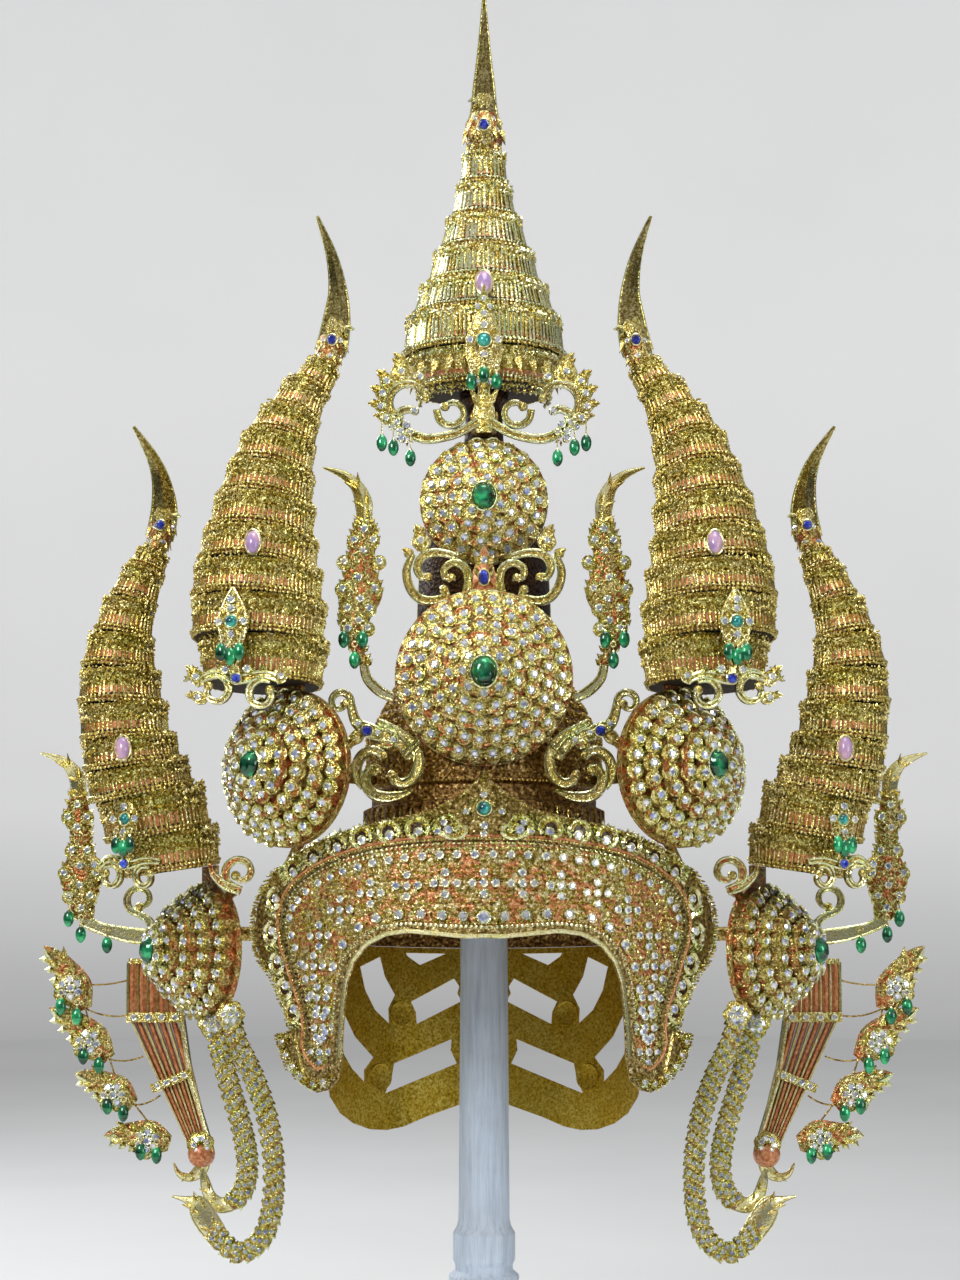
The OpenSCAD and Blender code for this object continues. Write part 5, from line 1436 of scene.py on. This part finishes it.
opalWork, blueWork, tealWork = bmesh.new(), bmesh.new(), bmesh.new()
setStone(opalWork, (9, 15), 3.6, "opal", move(0, -40.4, 688) @ turn(90 - 18.8, "X"))
setStone(blueWork, (5, 6), 2.6, "blueStone", facing(0, -12.9, 788), False)
setStone(blueWork, (5, 8), 3, "blueStone", facing(0, -66.3, 515), False)
setStone(tealWork, (7, 7), 3, "tealStone", facing(0, -108.9, 383))
setStone(tealWork, (7.4, 7.4), 3, "tealStone", facing(0, -52.9, 652))
sideStones = [(opalWork, "opal", (8, 13), 3.6, onSpire("mid", 526, 2, 11, 2.4, spires["mid"])),
              (opalWork, "opal", (8, 13), 3.6, onSpire("outer", 420, 2, 6, 0.4, spires["outer"])),
              (blueWork, "blueStone", (5, 5), 2.6, onFront("mid", 2, 451)),
              (blueWork, "blueStone", (5, 5), 2.6, onFront("outer", 2, 356.5)),
              (blueWork, "blueStone", (5.4, 5.4), 2.6, facing(64, -72.3, 429)),
              (blueWork, "blueStone", (4.6, 5.4), 2.6, onSpire("mid", 652, 0, 0, 0.3, horns["mid"])),
              (blueWork, "blueStone", (4.4, 5), 2.6, onSpire("outer", 549, 0, 0, 0.3, horns["outer"])),
              (tealWork, "tealStone", (6.4, 6.4), 3, onFront("mid", 5, 482)),
              (tealWork, "tealStone", (6, 6), 3, onFront("outer", 2, 381))]
for flip in (Matrix(), mirrorX):
    for piece, finish, size, deep, where in sideStones:
        setStone(piece, size, deep, finish, flip @ where, finish != "blueStone")
finishPiece("opalCabochons", opalWork, ["opals"])
finishPiece("blueGems", blueWork, ["blue_stones"])
finishPiece("tealCabochons", tealWork, ["teal_stones"])
print("stones set")


# finishes of the solids that stay
def crownSpace(tree, where, x=0.0, y=0.0, z=0.0):
    # turns Object coordinates back upright, with the origin moved to x, y, z of the crown
    node = tree.nodes.new("ShaderNodeMapping")
    back = Matrix.Rotation(math.radians(crownSit["lean"]), 3, "X")
    pivot = Vector((0, 0, crownSit["pivot"] / 1000))
    node.inputs["Rotation"].default_value[0] = math.radians(crownSit["lean"])
    node.inputs["Location"].default_value = pivot - back @ pivot - Vector((x, y, z))
    tree.links.new(where, node.inputs["Vector"])
    return node.outputs["Vector"]


def partOf(tree, vector, axis):
    node = tree.nodes.new("ShaderNodeSeparateXYZ")
    tree.links.new(vector, node.inputs["Vector"])
    return node.outputs[axis]


def remap(tree, value, low, high):
    node = tree.nodes.new("ShaderNodeMapRange")
    node.inputs["From Min"].default_value = low
    node.inputs["From Max"].default_value = high
    tree.links.new(value, node.inputs["Value"])
    return node.outputs["Result"]


def lengthAcross(tree, vector):
    flat, long = tree.nodes.new("ShaderNodeVectorMath"), tree.nodes.new("ShaderNodeVectorMath")
    flat.operation, long.operation = "MULTIPLY", "LENGTH"
    flat.inputs[1].default_value = (1, 1, 0)
    tree.links.new(vector, flat.inputs[0])
    tree.links.new(flat.outputs["Vector"], long.inputs[0])
    return long.outputs["Value"]


# the brow band's crest stands further out than its field
tree, shader, where = startFinish("bandGround")
upright = crownSpace(tree, where, 0, browBand["axisY"] / 1000, 0)
raised = remap(tree, lengthAcross(tree, upright), 0.1497, 0.1505)
small = noiseOn(tree, where, 560, 4, 0.7)
salmonTone = rampOf(tree, small, [(0.36, (0.10, 0.025, 0.006)), (0.5, (0.56, 0.20, 0.08)),
                                  (0.64, (0.92, 0.58, 0.26))])
goldTone = rampOf(tree, small, [(0.34, (0.03, 0.018, 0.003)), (0.5, (0.40, 0.29, 0.08)),
                                (0.64, (0.96, 0.92, 0.56))])
patches = rampOf(tree, noiseOn(tree, where, 115, 3), [(0.46, grey(0.0)), (0.55, grey(1.0))])
crestTone = rampOf(tree, small, [(0.36, (0.03, 0.018, 0.003)), (0.52, (0.30, 0.20, 0.05)),
                                 (0.66, (0.85, 0.74, 0.36))])
colour = mixOf(tree, raised, mixOf(tree, patches, goldTone, salmonTone), crestTone)
gilt(tree, shader, where, colour, small, (0.22, 0.5), 0.8, 700)

# the body is chased below, its own dark gold deepened as painted shade, and painted nearly black above as the
# shade on its column
tree, shader, where = startFinish("bodyGround")
height = partOf(tree, crownSpace(tree, where), "Z")
small = noiseOn(tree, where, 500, 4, 0.7)
leafTone = rampOf(tree, small, [(0.36, (0.04, 0.018, 0.005)), (0.52, (0.26, 0.14, 0.04)),
                                (0.66, (0.74, 0.52, 0.20))])
columnShade = rampOf(tree, small, [(0.4, (0.015, 0.008, 0.006)), (0.6, (0.10, 0.05, 0.02)),
                                (0.7, (0.3, 0.17, 0.05))])
colour = mixOf(tree, remap(tree, height, 0.4655, 0.467), leafTone, columnShade)
gilt(tree, shader, where, colour, small, (0.25, 0.5), 0.9, 420, 0.0008)

tree, shader, where = startFinish("paintedPost")
stretch = tree.nodes.new("ShaderNodeMapping")
stretch.inputs["Scale"].default_value = (1, 1, 0.06)
tree.links.new(where, stretch.inputs["Vector"])
streak = noiseOn(tree, stretch.outputs["Vector"], 420, 5, 0.7)
cloud = noiseOn(tree, where, 26, 3)
streakTone = rampOf(tree, streak, [(0.3, (0.46, 0.54, 0.66)), (0.5, (0.60, 0.70, 0.83)),
                                   (0.7, (0.70, 0.80, 0.92))])
cloudTone = rampOf(tree, cloud, [(0.35, (0.90, 0.88, 0.86)), (0.6, (1, 1, 1))])
tree.links.new(mixOf(tree, 1.0, streakTone, cloudTone, "MULTIPLY"), shader.inputs["Base Color"])
tree.links.new(rampOf(tree, streak, [(0.3, grey(0.62)), (0.7, grey(0.45))]), shader.inputs["Roughness"])
bumpFrom(tree, shader, [streak], 0.0004, 0.5)

keptSolids = {"stand": "paintedPost", "crown_body": "bodyGround", "brow_band": "bandGround",
              "neck_guard": "guardGold", "upper_rosette": "foliageGround", "lower_rosette": "foliageGround",
              "side_arm_l": "deepGold", "side_arm_r": "deepGold",
              "mid_rosette_l": "foliageGround", "mid_rosette_r": "foliageGround",
              "outer_rosette_l": "foliageGround", "outer_rosette_r": "foliageGround"}
for node, finish in keptSolids.items():
    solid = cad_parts[node]
    for slotAt in range(max(1, len(solid.material_slots))):
        if solid.material_slots:
            solid.material_slots[slotAt].material = finishes[finish]
        else:
            solid.data.materials.append(finishes[finish])
print("solids painted:", len(keptSolids))


# floor, round wall, light and camera
studio = {"keyWatts": 20, "fillWatts": 8, "rimWatts": 14, "topWatts": 9, "sky": 0.52,
          "floorRadius": 2.9, "sweep": 1.3, "wallTop": 5.0, "wallRows": 24, "wallGlow": 0.40}


def addBackdrop(name, work):
    mesh = closeMesh(name, work)
    for face in mesh.polygons:
        face.use_smooth = True
    thing = bpy.data.objects.new(name, mesh)
    bpy.context.scene.collection.objects.link(thing)
    thing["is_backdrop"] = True
    tree, shader, where = startFinish(name)
    tone = rampOf(tree, noiseOn(tree, where, 3, 2), [(0.3, grey(0.70)), (0.7, grey(0.74))])
    tree.links.new(tone, shader.inputs["Base Color"])
    shader.inputs["Roughness"].default_value = 0.8
    mesh.materials.append(finishes[name])
    return thing, tree, shader, where


work = bmesh.new()
bmesh.ops.create_circle(work, cap_ends=True, radius=studio["floorRadius"], segments=96)
addBackdrop("paleFloor", work)
# the wall bends up from the floor's edge
work = bmesh.new()
bmesh.ops.create_circle(work, cap_ends=False, radius=studio["floorRadius"], segments=96)
edges = work.edges[:]
for k in range(1, studio["wallRows"] + 1):
    angle = math.radians(90 * k / studio["wallRows"])
    made = bmesh.ops.extrude_edge_only(work, edges=edges)["geom"]
    edges = [g for g in made if isinstance(g, bmesh.types.BMEdge)]
    reach = studio["floorRadius"] + studio["sweep"] * math.sin(angle)
    for v in [g for g in made if isinstance(g, bmesh.types.BMVert)]:
        around = math.atan2(v.co.y, v.co.x)
        v.co = (reach * math.cos(around), reach * math.sin(around), studio["wallTop"] * (1 - math.cos(angle)))
bmesh.ops.recalc_face_normals(work, faces=work.faces[:])
outwards = [face for face in work.faces if face.normal.dot(face.calc_center_median()) > 0]
bmesh.ops.reverse_faces(work, faces=outwards)
wall, tree, shader, where = addBackdrop("paleWall", work)
# a camera behind the wall looks through it
behind = tree.nodes.new("ShaderNodeNewGeometry").outputs["Backfacing"]
clear, surface = tree.nodes.new("ShaderNodeBsdfTransparent"), tree.nodes.new("ShaderNodeMixShader")
for source, socket in ((behind, 0), (shader.outputs["BSDF"], 1), (clear.outputs["BSDF"], 2)):
    tree.links.new(source, surface.inputs[socket])
tree.links.new(surface.outputs["Shader"], tree.nodes["Material Output"].inputs["Surface"])
# it glows softly with height and stays out of the gold's reflections
glow = [(0.0, grey(0.0)), (0.3, grey(0.75 * studio["wallGlow"])), (1.0, grey(studio["wallGlow"]))]
tree.links.new(rampOf(tree, partOf(tree, where, "Z"), glow), shader.inputs["Emission Color"])
shader.inputs["Emission Strength"].default_value = 1.0
wall.visible_glossy = wall.visible_diffuse = wall.visible_shadow = False

bpy.context.scene.view_settings.view_transform = "Standard"
world = bpy.data.worlds.new("studioSky")
world.use_nodes = True
sky = world.node_tree
rising = partOf(sky, sky.nodes.new("ShaderNodeTexCoord").outputs["Generated"], "Z")
skyTone = rampOf(sky, rising, [(0.0, (0.12, 0.13, 0.15)), (0.2, (0.36, 0.38, 0.42)), (0.55, (1.0, 1.0, 1.0))])
sky.links.new(skyTone, sky.nodes["Background"].inputs["Color"])
sky.nodes["Background"].inputs["Strength"].default_value = studio["sky"]
bpy.context.scene.world = world


def addLight(name, watts, size, where, aim=(0, 0, 0.45), colour=(1, 1, 1)):
    lamp = bpy.data.lights.new(name, "AREA")
    lamp.energy, lamp.size, lamp.color = watts, size, colour
    thing = bpy.data.objects.new(name, lamp)
    thing.location = where
    thing.rotation_euler = (Vector(aim) - Vector(where)).to_track_quat("-Z", "Y").to_euler()
    bpy.context.scene.collection.objects.link(thing)


addLight("keyLight", studio["keyWatts"], 0.7, (-1.0, -1.7, 1.5), colour=(1.0, 0.98, 0.94))
addLight("fillLight", studio["fillWatts"], 0.9, (1.5, -1.5, 0.8), colour=(0.92, 0.96, 1.0))
addLight("topLight", studio["topWatts"], 0.8, (0.1, -0.3, 1.9))
addLight("rimLight", studio["rimWatts"], 0.8, (-0.9, 1.1, 1.3), colour=(0.95, 0.98, 1.0))

camera = bpy.data.cameras.new("photoCamera")
camera.sensor_width, camera.lens = 36, 98.68
camera.shift_x, camera.shift_y = -4 / 1280, 75 / 1280
camera.clip_end = 50
cameraThing = bpy.data.objects.new("photoCamera", camera)
cameraThing.location = (0, -2.0, 0.447)
cameraThing.rotation_euler = (math.radians(90), 0, 0)
bpy.context.scene.collection.objects.link(cameraThing)
bpy.context.scene.camera = cameraThing

low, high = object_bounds()
